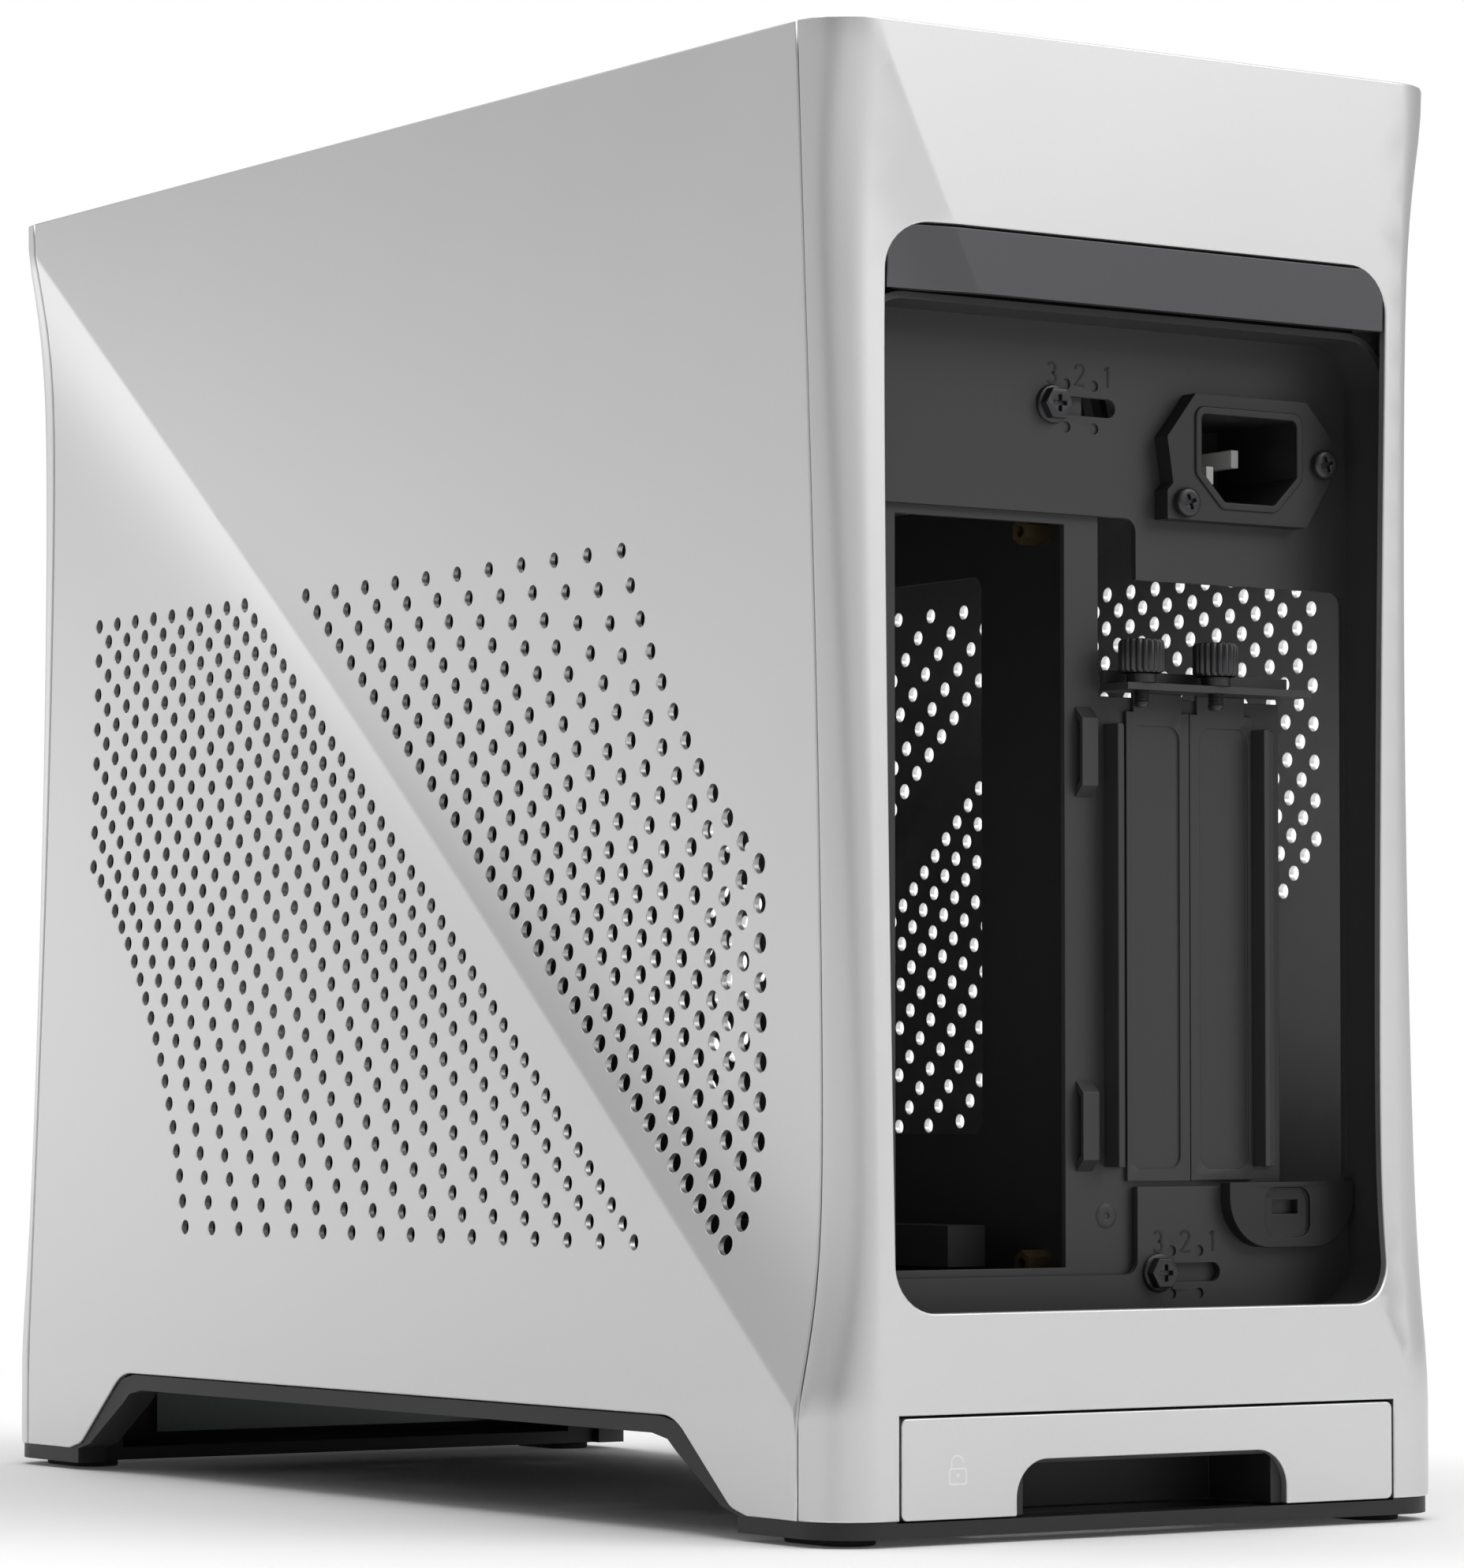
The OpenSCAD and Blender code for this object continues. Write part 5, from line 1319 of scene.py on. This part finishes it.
@dataclass
class LockFront:
    """The lock drawer's silver front with the finger notch in its foot, and its printed padlock sign.

    The notch is half its width at its foot and at its top, and the heights where its slope starts and ends.
    The corner radii are those of the top, of the notch's feet and of the notch. The sign's body is half its
    width, its foot's depth under the sign's middle, its height and its outer and inner corner radii.
    """

    shop: Workshop
    half: float = 65.3
    low: float = FORM.skin_z
    high: float = 26.2
    thickness: float = 2.0
    notch: tuple[float, float, float, float] = (35.9, 31.3, 12.2, 16.9)
    corner_r: Spot = (1.5, 0.4, 9.0)
    r_steps: int = 8
    edge_step: float = 6.0
    edge_round: float = 0.35
    net: Pair = (6.0, 5.0)
    sign: Pair = (-51.2, 15.4)
    line: float = 0.35
    sign_rise: float = 0.04
    sign_wall: float = 0.3
    body: tuple[float, float, float, float, float] = (2.3, 3.1, 3.5, 0.5, 0.3)
    body_steps: int = 4
    shackle: Pair = (1.65, 1.6)
    shackle_at: Spot = (-0.15, 0.4, 1.1)
    shackle_points: int = 13
    keyhole: Pair = (1.1, 0.42)
    keyhole_points: int = 14

    def build(self) -> None:
        """Builds the front and its sign."""
        wide, narrow, low, high = self.notch
        top_r, foot_r, notch_r = self.corner_r
        z0, z1 = self.low, self.high
        corners = [(-self.half, z0), (-wide, z0), (-wide, low), (-narrow, high), (narrow, high), (wide, low),
                   (wide, z0), (self.half, z0), (self.half, z1), (-self.half, z1)]
        radii = [top_r, foot_r, *[notch_r] * 4, foot_r, *[top_r] * 3]
        outline = closed(filleted(corners, radii, self.r_steps), self.edge_step)
        sheet = Sheet(outline, on_rear(FORM.half_l - self.sign_rise), self.thickness - self.sign_rise,
                      bevel=self.edge_round, spots=spread(-self.half, self.half, z0, z1, *self.net))
        self.shop.plate("lock_front", sheet.build(), "lock_drawer", ("lock_fascia",))
        points, faces = joined([self.sign_body(), self.sign_shackle(), self.sign_keyhole()])
        self.shop.piece("padlock_sign", points, faces, "lock_drawer", Slot.SILVER, finish=PRINT)

    def sign_body(self) -> tuple[Array, Faces]:
        """The body's outline as a line of even width.

        Returns:
            The line's points and faces.
        """
        (u, v), (half, foot, height, *radii) = self.sign, self.body
        rows = []
        for cut, r in zip((0.0, self.line), radii):
            low, high = v - foot + cut, v - foot + height - cut
            rows.append(box_outline(u - half + cut, u + half - cut, low, high, r, self.body_steps))
        return raised(*rows, FORM.half_l - self.sign_wall, FORM.half_l, wrap=True)

    def sign_shackle(self) -> tuple[Array, Faces]:
        """The open shackle: half an oval with one leg down to the body.

        Returns:
            The line's points and faces.
        """
        (u, v), (side, foot, leg) = self.sign, self.shackle_at
        a = np.linspace(0, math.pi, self.shackle_points)
        rows = []
        for cut in (0.0, self.line):
            rx, rz = self.shackle[0] - cut, self.shackle[1] - cut
            oval = np.stack([u + side + rx * np.cos(a), v + foot + leg + rz * np.sin(a)], 1)
            rows.append(np.vstack([oval, [(u + side - rx, v + foot)]]))
        return raised(*rows, FORM.half_l - self.sign_wall, FORM.half_l)

    def sign_keyhole(self) -> tuple[Array, Faces]:
        """The keyhole: a small disc with a wall.

        Returns:
            The disc's points and faces.
        """
        (u, v), (foot, r), n = self.sign, self.keyhole, self.keyhole_points
        rim = circle(u, v - foot, r, n)
        faces = [list(range(n))] + [[k, k + n, (k + 1) % n + n, (k + 1) % n] for k in range(n)]
        return np.vstack([flat(rim, FORM.half_l), flat(rim, FORM.half_l - self.sign_wall)]), faces


# Fittings
@dataclass
class FrontButton:
    """The round front button: a dished face, a rounded rim and its stem."""

    shop: Workshop
    at: Spot = (-46.0, -182.5, 15.5)
    profile: tuple[Pair, ...] = (
        (0.0, 0.25), (2.0, 0.2), (3.6, 0.06), (4.3, 0.0), (4.65, 0.06), (4.8, 0.22), (4.8, 2.7), (5.7, 2.7),
        (5.7, 3.6), (2.0, 3.6), (2.0, 10.2), (0.0, 10.2))
    steps: int = 56

    def build(self) -> None:
        """Builds the button."""
        points, faces = revolved(self.profile, self.at, "Y", self.steps)
        self.shop.piece("front_button", points, faces, "button", Slot.SILVER, ("power_button",))


def arc(x: float, y: float, rx: float, ry: float, first: float, last: float, count: int = 10) -> Array:
    """Places on an upright oval's line from one angle to another, in degrees."""
    a = np.linspace(math.radians(first), math.radians(last), count)
    return np.stack([x + rx * np.cos(a), y + ry * np.sin(a)], 1)


@dataclass
class Figures:
    """The engraved position numbers 3, 2 and 1, raised by a hair and as thin as print.

    A row is its height and its figures' places. Shares are parts of a figure's height; an arc is its middle,
    its half sizes and its first and last angle in degrees.
    """

    shop: Workshop
    wall_y: float = 163.4
    height: float = 4.4
    stroke: float = 0.55
    rise: float = 0.12
    order: tuple[int, ...] = (3, 2, 1)
    rows: tuple[tuple[float, tuple[float, ...]], ...] = (
        (246.5, (11.5, 4.0, -3.5)), (61.0, (-16.5, -24.0, -31.5)))
    one_shares: tuple[Pair, ...] = ((-0.16, 0.34), (0.03, 0.5), (0.03, -0.5))
    two_arc_shares: tuple[float, ...] = (0.0, 0.24, 0.27, 0.26, 165.0, -35.0)
    two_foot_shares: tuple[Pair, ...] = ((-0.28, -0.5), (0.3, -0.5))
    three_shares: tuple[tuple[float, ...], ...] = (
        (0.0, 0.26, 0.23, 0.24, 150.0, -80.0), (0.0, -0.24, 0.27, 0.26, 80.0, -150.0))

    def pen_line(self, figure: int) -> Array:
        """The pen line of a figure in a box one unit high.

        A three is two half rounds, a two an arc, a slope and a foot, a one a flag and a stem.

        Args:
            figure: 1, 2 or 3.

        Returns:
            The line's places.
        """
        if figure == 1:
            return np.array(self.one_shares)
        if figure == 2:
            return np.vstack([arc(*self.two_arc_shares), self.two_foot_shares])
        return np.vstack([arc(*shares) for shares in self.three_shares])

    def build(self) -> None:
        """Builds both rows of figures as one piece."""
        parts = [self.band(self.pen_line(figure) * self.height + np.array([-x, z]))
                 for z, xs in self.rows for figure, x in zip(self.order, xs)]
        points, faces = joined(parts)
        self.shop.piece("position_figures", points, faces, "chassis", Slot.STEEL, finish=ENGRAVED)

    def band(self, line: Array) -> tuple[Array, Faces]:
        """A pen line as a thin band with walls.

        Args:
            line: the pen line's places.

        Returns:
            The band's points and faces.
        """
        d = np.gradient(line, axis=0)
        d /= np.linalg.norm(d, axis=1)[:, None]
        side = np.stack([-d[:, 1], d[:, 0]], 1) * self.stroke / 2
        points, faces = raised(line + side, line - side, self.wall_y, self.wall_y + self.rise)
        return points, [f[::-1] for f in faces]


@dataclass(frozen=True)
class CrossHead:
    """A screw head: a plate with a cross recess over a blind floor.

    Attributes:
        height: the plate's thickness.
        bevel: the rounding of its edge.
        cross: length and width of the recess's arms.
        turn: how far the recess is turned, in degrees.
        hole_bevel: the rounding of the recess.
        depth: how deep the recess is at most.
        floor: the least left under it.
    """

    height: float
    bevel: float
    cross: Pair
    turn: float = 0.0
    hole_bevel: float = 0.12
    depth: float = 0.95
    floor: float = 0.1

    def build(self, outline: Array, x: float, y: float, z: float) -> tuple[Array, Faces]:
        """Builds the head of the outline with its top at y.

        Args:
            outline: the head's edge around its own middle.
            x: the screw's place across.
            y: the place of the head's top.
            z: the screw's height.

        Returns:
            The head's points and faces.
        """
        at = np.array([-x, z])
        recess = plus_outline(*self.cross, self.turn) + at
        plate = Sheet(outline + at, on_rear(y), self.height, [recess], self.bevel, self.hole_bevel)
        points, faces, _ = plate.build()
        floor = flat(recess, y - min(self.depth, self.height - self.floor))
        return joined([(points, faces), (floor, [list(range(len(recess)))])])


@dataclass
class FlangedScrews:
    """The two hex-flange screws that set the spine, each with its node, its place and its height."""

    shop: Workshop
    wall_y: float = 163.5
    adjust: tuple[tuple[str, float, float], ...] = (
        ("adjust_screw_top", 11.5, 239.8), ("adjust_screw_bottom", -16.5, 54.3))
    flange: tuple[Pair, ...] = (
        (0.0, -5.0), (1.5, -5.0), (1.5, 0.0), (4.2, 0.0), (4.2, 0.45), (4.0, 0.75), (3.55, 0.9), (0.0, 0.9))
    flange_steps: int = 48
    hex_sides: int = 6
    hex_r: float = 3.7
    hex_step: float = 0.7
    hex_top: float = 2.9
    hex_head: CrossHead = CrossHead(2.0, 0.35, (3.6, 0.95))
    sharp: float = 28.0

    def build(self) -> None:
        """Builds a piece for each."""
        hexagon = closed(circle(0, 0, self.hex_r, self.hex_sides), self.hex_step)
        for node, x, z in self.adjust:
            base = revolved(self.flange, (x, self.wall_y, z), "Y", self.flange_steps)
            points, faces = joined([base, self.hex_head.build(hexagon, x, self.wall_y + self.hex_top, z)])
            self.shop.piece(node + "_looks", points, faces, "spine", Slot.SCREW, (node,), sharp=self.sharp)


@dataclass
class ThumbScrews:
    """The two thumb screws: thread, collar, a head with twenty flutes and a cross recess in its top.

    Profiles are pairs of radius and height. The flutes are their depth, half their number and the power that
    narrows them. The cross is its length, its arms' width and its turn in degrees.
    """

    shop: Workshop
    screws: tuple[tuple[str, float], ...] = (("inner", -8.1), ("outer", -28.4))
    axis_y: float = 169.0
    tip: tuple[Pair, ...] = ((0.0, 175.4), (1.3, 175.4), (1.7, 175.9))
    thread: Pair = (176.4, 180.4)
    thread_r: Pair = (1.7, 1.5)
    pitch: float = 0.4
    collar: tuple[Pair, ...] = (
        (1.7, 180.6), (3.2, 180.6), (3.2, 182.4), (3.0, 182.7), (4.2, 182.7), (0.0, 182.7))
    side: tuple[Pair, ...] = (
        (4.2, 182.7), (4.7, 182.95), (5.0, 183.4), (5.0, 189.0), (4.75, 189.6), (4.35, 189.85))
    base_steps: int = 40
    side_steps: int = 160
    fluted_r: float = 4.5
    flute: Spot = (0.42, 10, 4)
    cap_z: float = 189.85
    cap_r: float = 4.36
    cap_steps: int = 80
    cap_t: float = 1.4
    cap_rounds: Pair = (0.1, 0.15)
    cross: Spot = (5.4, 1.1, 30.0)
    cross_z: float = 188.6
    sharp: float = 32.0

    def fluted(self, r: Array, a: Array) -> Array:
        """Takes the flutes off the head's radius: their depth times a power of a cosine of the angle."""
        depth, count, power = self.flute
        return np.where(r > self.fluted_r, r - depth * np.cos(count * a) ** power, r)

    def build(self) -> None:
        """Builds both."""
        thread, z = list(self.tip), self.thread[0]
        while z < self.thread[1]:
            thread += [(self.thread_r[0], z), (self.thread_r[1], z + self.pitch / 2)]
            z += self.pitch
        for name, x in self.screws:
            axis = (x, self.axis_y, 0.0)
            base = revolved([*thread, *self.collar], axis, "Z", self.base_steps)
            knurl = revolved(self.side, axis, "Z", self.side_steps, self.fluted)
            cross = plus_outline(*self.cross) + np.array(axis[:2])
            rim = circle(*axis[:2], self.cap_r, self.cap_steps)
            cap = Sheet(rim, on_top(self.cap_z), self.cap_t, [cross], *self.cap_rounds, steps=2)
            points, faces, _ = cap.build()
            floor = np.column_stack([cross, np.full(len(cross), self.cross_z)])
            points, faces = joined([base, knurl, (points, faces), (floor, [list(range(len(cross)))])])
            node = "thumb_screw_" + name
            self.shop.piece(node + "_looks", points, faces, "thumb_" + name, Slot.SCREW, (node,),
                            sharp=self.sharp)


@dataclass
class InletScrews:
    """The two pan heads that hold the mains inlet."""

    shop: Workshop
    places: tuple[Pair, ...] = ((-21.1, 220.2), (-59.4, 230.6))
    wall_y: float = 168.0
    pan_r: float = 3.2
    pan_steps: int = 36
    pan_head: CrossHead = CrossHead(1.8, 0.8, (3.4, 0.85), 20.0)
    shank: tuple[Pair, ...] = ((0.0, -8.0), (1.5, -8.0), (1.5, 0.1), (0.0, 0.1))
    shank_steps: int = 20

    def build(self) -> None:
        """Builds both as one piece."""
        pan, parts = circle(0, 0, self.pan_r, self.pan_steps), []
        for x, z in self.places:
            parts.append(self.pan_head.build(pan, x, self.wall_y + self.pan_head.height, z))
            parts.append(revolved(self.shank, (x, self.wall_y, z), "Y", self.shank_steps))
        points, faces = joined(parts)
        self.shop.piece("inlet_screw_heads", points, faces, "chassis", Slot.SCREW, ("inlet_screws",))


@dataclass
class InletLip:
    """The rounded lip around the mains socket's opening."""

    shop: Workshop
    middle: Pair = (38.6, 230.3)
    half: Pair = (13.2, 9.4)
    chamfer: float = 6.4
    chamfer_share: float = 0.59
    width: float = 1.7
    rounds: Pair = (2.4, 1.2)
    r_steps: int = 5
    edge_step: float = 3.0
    wall_y: float = 168.0
    rise: float = 0.55
    sunk: float = 0.2
    edge_round: float = 0.4

    def outline(self, grow: float, r: float) -> Array:
        """The opening's outline, a rectangle whose lower corners are cut off, moved outwards by `grow`.

        Args:
            grow: how far the edge is moved outwards.
            r: the radius of its corners.

        Returns:
            The closed edge.
        """
        w, h, c = self.half[0] + grow, self.half[1] + grow, self.chamfer + self.chamfer_share * grow
        corners = [(-w + c, -h), (w - c, -h), (w, -h + c), (w, h), (-w, h), (-w, -h + c)]
        return closed(filleted(corners, r, self.r_steps) + np.array(self.middle), self.edge_step)

    def build(self) -> None:
        """Builds the lip as a small rounded ring."""
        outer, inner = self.outline(self.width, self.rounds[0]), self.outline(0.0, self.rounds[1])
        top, thickness = on_rear(self.wall_y + self.rise), self.rise + self.sunk
        sheet = Sheet(outer, top, thickness, [inner], self.edge_round)
        self.shop.plate("inlet_lip", sheet.build(), "chassis", (), Slot.PLASTIC)


@dataclass
class Steelwork:
    """The CAD nodes that keep their form but get rounded edges; inner ones get painted shade (a darker copy
    of the steel), the pins a pale finish that is partly painted highlight.
    """

    shop: Workshop
    fine: tuple[str, ...] = (
        "rear_frame", "spine_rear_plate", "slot_cover_inner", "slot_cover_outer", "slot_guides",
        "slot_retainer", "tie_loops", "security_tab", "spine_tray", "spine_front_plate", "front_frame",
        "top_frame", "psu_bracket", "riser_plug", "riser_socket", "usb_a_ports", "audio_jack",
        "fan_frame_front", "fan_frame_rear", "top_filter", "lock_tray")
    inner: tuple[str, ...] = (
        "spine_tray", "spine_front_plate", "front_frame", "top_frame", "psu_bracket", "riser_plug",
        "riser_socket", "fan_frame_front", "fan_frame_rear")
    wide: tuple[str, ...] = ("base_skirt", "power_inlet", "foot_pads")
    narrow: float = 0.18
    broad: float = 0.45
    broad_strips: int = 3
    boss_at: Spot = (-4.0, 161.4, 66.6)
    boss: tuple[Pair, ...] = ((0.7, -0.2), (0.7, 0.2), (1.0, 0.32), (2.3, 0.32), (2.7, 0.05), (2.7, -0.2))
    boss_steps: int = 40

    def build(self) -> None:
        """Makes the rounded copies and the small pressed boss beside the lower screw."""
        for node in self.fine:
            # Inner parts take the painted-shade copy of the steel.
            self.shop.softened(node, self.narrow, finish=SHADED if node in self.inner else None)
        # The mains pins' pale matt finish is partly a painted highlight.
        self.shop.softened("inlet_pins", self.narrow, finish=PIN_TONE_AND_GLINT)
        points, faces = revolved(self.boss, self.boss_at, "Y", self.boss_steps)
        self.shop.piece("spine_boss", points, faces, "spine", Slot.STEEL)
        for node in self.wide:
            self.shop.softened(node, self.broad, self.broad_strips)


PARTS: tuple = (SidePanels, EndShells, TopPanel, RecessStrip, LockFront, FrontButton, Figures, FlangedScrews,
                ThumbScrews, InletScrews, InletLip, Steelwork)


# Studio
def turned_to(made: bpy.types.Object, place: Spot, way: Vector) -> bpy.types.Object:
    """Puts a lamp or a camera at a place, turns it the given way and returns it.

    Args:
        made: the lamp or camera.
        place: where it stands.
        way: the way it looks.

    Returns:
        The same object.
    """
    made.location = place
    made.rotation_euler = way.to_track_quat("-Z", "Y").to_euler()
    return made


def board(name: str, corners: Sequence[Sequence[float]], material: bpy.types.Material) -> bpy.types.Object:
    """A single face of a material, linked to the scene.

    Args:
        name: the object's name.
        corners: its four corners in metres.
        material: its material.

    Returns:
        The object.
    """
    mesh = bpy.data.meshes.new(name)
    mesh.from_pydata([tuple(c) for c in corners], [], [(0, 1, 2, 3)])
    mesh.materials.append(material)
    return placed(name, mesh)


@dataclass(frozen=True)
class SoftLight:
    """One rectangular soft light."""

    name: str
    place: Spot
    aim: Spot
    size: Pair
    power: float

    def build(self) -> bpy.types.Object:
        """Makes the light and turns it towards its aim.

        Returns:
            The light's object.
        """
        data = bpy.data.lights.new(self.name, "AREA")
        data.shape = "RECTANGLE"
        data.size, data.size_y = self.size
        data.energy = self.power
        return turned_to(placed(self.name, data), self.place, Vector(self.aim) - Vector(self.place))


@dataclass
class Studio:
    """White floor, white surroundings, soft lights and the camera of the photograph."""

    floor_half: float = 6.0
    floor_tone: float = 0.9
    floor_spread: float = 0.004
    floor_noise: float = 40.0
    floor_rough: float = 0.75
    floor_shine: float = 0.2
    # Painted light: the floor glows up to floor_glow from glow_near to glow_far out, lightening the floor and
    # its shadows but not under the case.
    floor_glow: float = 0.16
    glow_near: float = 0.13
    glow_far: float = 0.3
    fade_near: float = 0.25
    fade_far: float = 0.8
    card_place: Spot = (2.2, 1.25, 0.9)
    card_half: Pair = (0.55, 1.1)
    card_tone: float = 0.02
    card_rough: float = 0.9
    world_tone: float = 0.37
    backdrop: float = 1.0
    lens: float = 135.69
    sensor: float = 36.0
    clip_start: float = 0.05
    shift_y: float = 0.0428
    place: Spot = (0.772030, 1.165820, 0.089408)
    yaw: float = 34.0762
    tilt: float = 2.5
    lights: tuple[SoftLight, ...] = (
        SoftLight("key_side", (1.0, -1.5, 1.5), (0.08, -0.12, 0.16), (1.0, 1.0), 2.5),
        SoftLight("floor_bounce", (0.45, -1.45, 0.25), (0.06, -0.25, 0.2), (0.8, 0.35), 0.9),
        SoftLight("key_rear", (-1.5, 2.2, 1.7), (0.0, 0.1, 0.2), (1.7, 1.6), 24.0),
        SoftLight("overhead", (0.0, 0.2, 2.4), (0.0, 0.0, 0.1), (2.2, 2.2), 38.0),
    )

    def build(self) -> None:
        """Builds the stage."""
        h = self.floor_half
        corners = [(-h, -h, 0), (h, -h, 0), (h, h, 0), (-h, h, 0)]
        board("studio_floor", corners, self.floor_material())
        for light in self.lights:
            light.build()
        self.dark_card()
        self.surroundings()
        self.camera()

    def floor_material(self) -> bpy.types.Material:
        """A pale floor that keeps the shadow near the object, glows faintly further out as painted light that
        lightens the floor and its shadows, and fades to plain white.

        Returns:
            The floor's material.
        """
        made = bpy.data.materials.new("pale_floor")
        made.use_nodes = True
        graph = Graph(made.node_tree)
        noise, place = graph.node("TexNoise", {"Scale": self.floor_noise}), graph.node("TexCoord")
        far = graph.node("VectorMath", operation="LENGTH")
        tint = graph.node("MapRange", {"To Min": self.floor_tone - self.floor_spread,
                                       "To Max": self.floor_tone + self.floor_spread})
        fade = graph.node("MapRange", {"From Min": self.fade_near, "From Max": self.fade_far})
        # Painted light: emission on the floor, off under the case and rising further out.
        lift = graph.node("MapRange", {"From Min": self.glow_near, "From Max": self.glow_far,
                                       "To Max": self.floor_glow})
        glow = graph.node("Emission", {"Color": WHITE, "Strength": self.backdrop})
        mix = graph.node("MixShader")
        shader = graph.fill(made.node_tree.nodes["Principled BSDF"], {
            "Roughness": self.floor_rough, "Specular IOR Level": self.floor_shine, "Emission Color": WHITE})
        graph.link((place.outputs["Object"], noise.inputs["Vector"]),
                   (place.outputs["Object"], far.inputs[0]),
                   (far.outputs["Value"], fade.inputs["Value"]),
                   (far.outputs["Value"], lift.inputs["Value"]),
                   (noise.outputs["Fac"], tint.inputs["Value"]),
                   (tint.outputs["Result"], shader.inputs["Base Color"]),
                   (lift.outputs["Result"], shader.inputs["Emission Strength"]),
                   (fade.outputs["Result"], mix.inputs[0]), (shader.outputs[0], mix.inputs[1]),
                   (glow.outputs[0], mix.inputs[2]),
                   (mix.outputs[0], made.node_tree.nodes["Material Output"].inputs["Surface"]))
        return made

    def dark_card(self) -> bpy.types.Object:
        """A dark card beside the camera that draws the rounded rear corner's darker line.

        Returns:
            The card's object.
        """
        x, y, _ = self.card_place
        side = np.array([-y, x, 0.0]) / math.hypot(x, y) * self.card_half[0]
        up = np.array([0.0, 0.0, self.card_half[1]])
        middle = np.array(self.card_place)
        cloth = bpy.data.materials.new("dark_card")
        cloth.use_nodes = True
        Graph.fill(cloth.node_tree.nodes["Principled BSDF"], {
            "Base Color": (*[self.card_tone] * 3, 1.0), "Roughness": self.card_rough})
        corners = [middle - side - up, middle + side - up, middle + side + up, middle - side + up]
        return board("dark_card", corners, cloth)

    def surroundings(self) -> None:
        """An even pale surround, and pure white where the camera sees it."""
        world = bpy.data.worlds.new("studio_surround")
        world.use_nodes = True
        bpy.context.scene.world = world
        graph, nodes = Graph(world.node_tree), world.node_tree.nodes
        lit = graph.fill(nodes["Background"], {"Color": WHITE, "Strength": self.world_tone})
        seen = graph.node("Background", {"Color": WHITE, "Strength": self.backdrop})
        mix, ray = graph.node("MixShader"), graph.node("LightPath")
        graph.link((ray.outputs["Is Camera Ray"], mix.inputs[0]), (lit.outputs[0], mix.inputs[1]),
                   (seen.outputs[0], mix.inputs[2]),
                   (mix.outputs[0], nodes["World Output"].inputs["Surface"]))

    def camera(self) -> None:
        """Sets the camera by its place, its turn and its tilt."""
        data = bpy.data.cameras.new("photo_camera")
        data.lens = self.lens
        data.sensor_width = self.sensor
        data.shift_y = self.shift_y
        data.clip_start = self.clip_start
        yaw, tilt = math.radians(self.yaw), math.radians(self.tilt)
        way = Vector((-math.sin(yaw) * math.cos(tilt), -math.cos(yaw) * math.cos(tilt), math.sin(tilt)))
        bpy.context.scene.camera = turned_to(placed("photo_camera", data), self.place, way)
        bpy.context.scene.view_settings.view_transform = "Standard"


def main() -> None:
    """Loads the frame, builds every sub-assembly and the studio."""
    logging.basicConfig(level=logging.INFO, format="%(name)s: %(message)s")
    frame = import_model()
    shop = Workshop(frame)
    for make in PARTS:
        make(shop).build()
    shop.paint_rest()
    Studio().build()


if __name__ == "__main__":
    main()
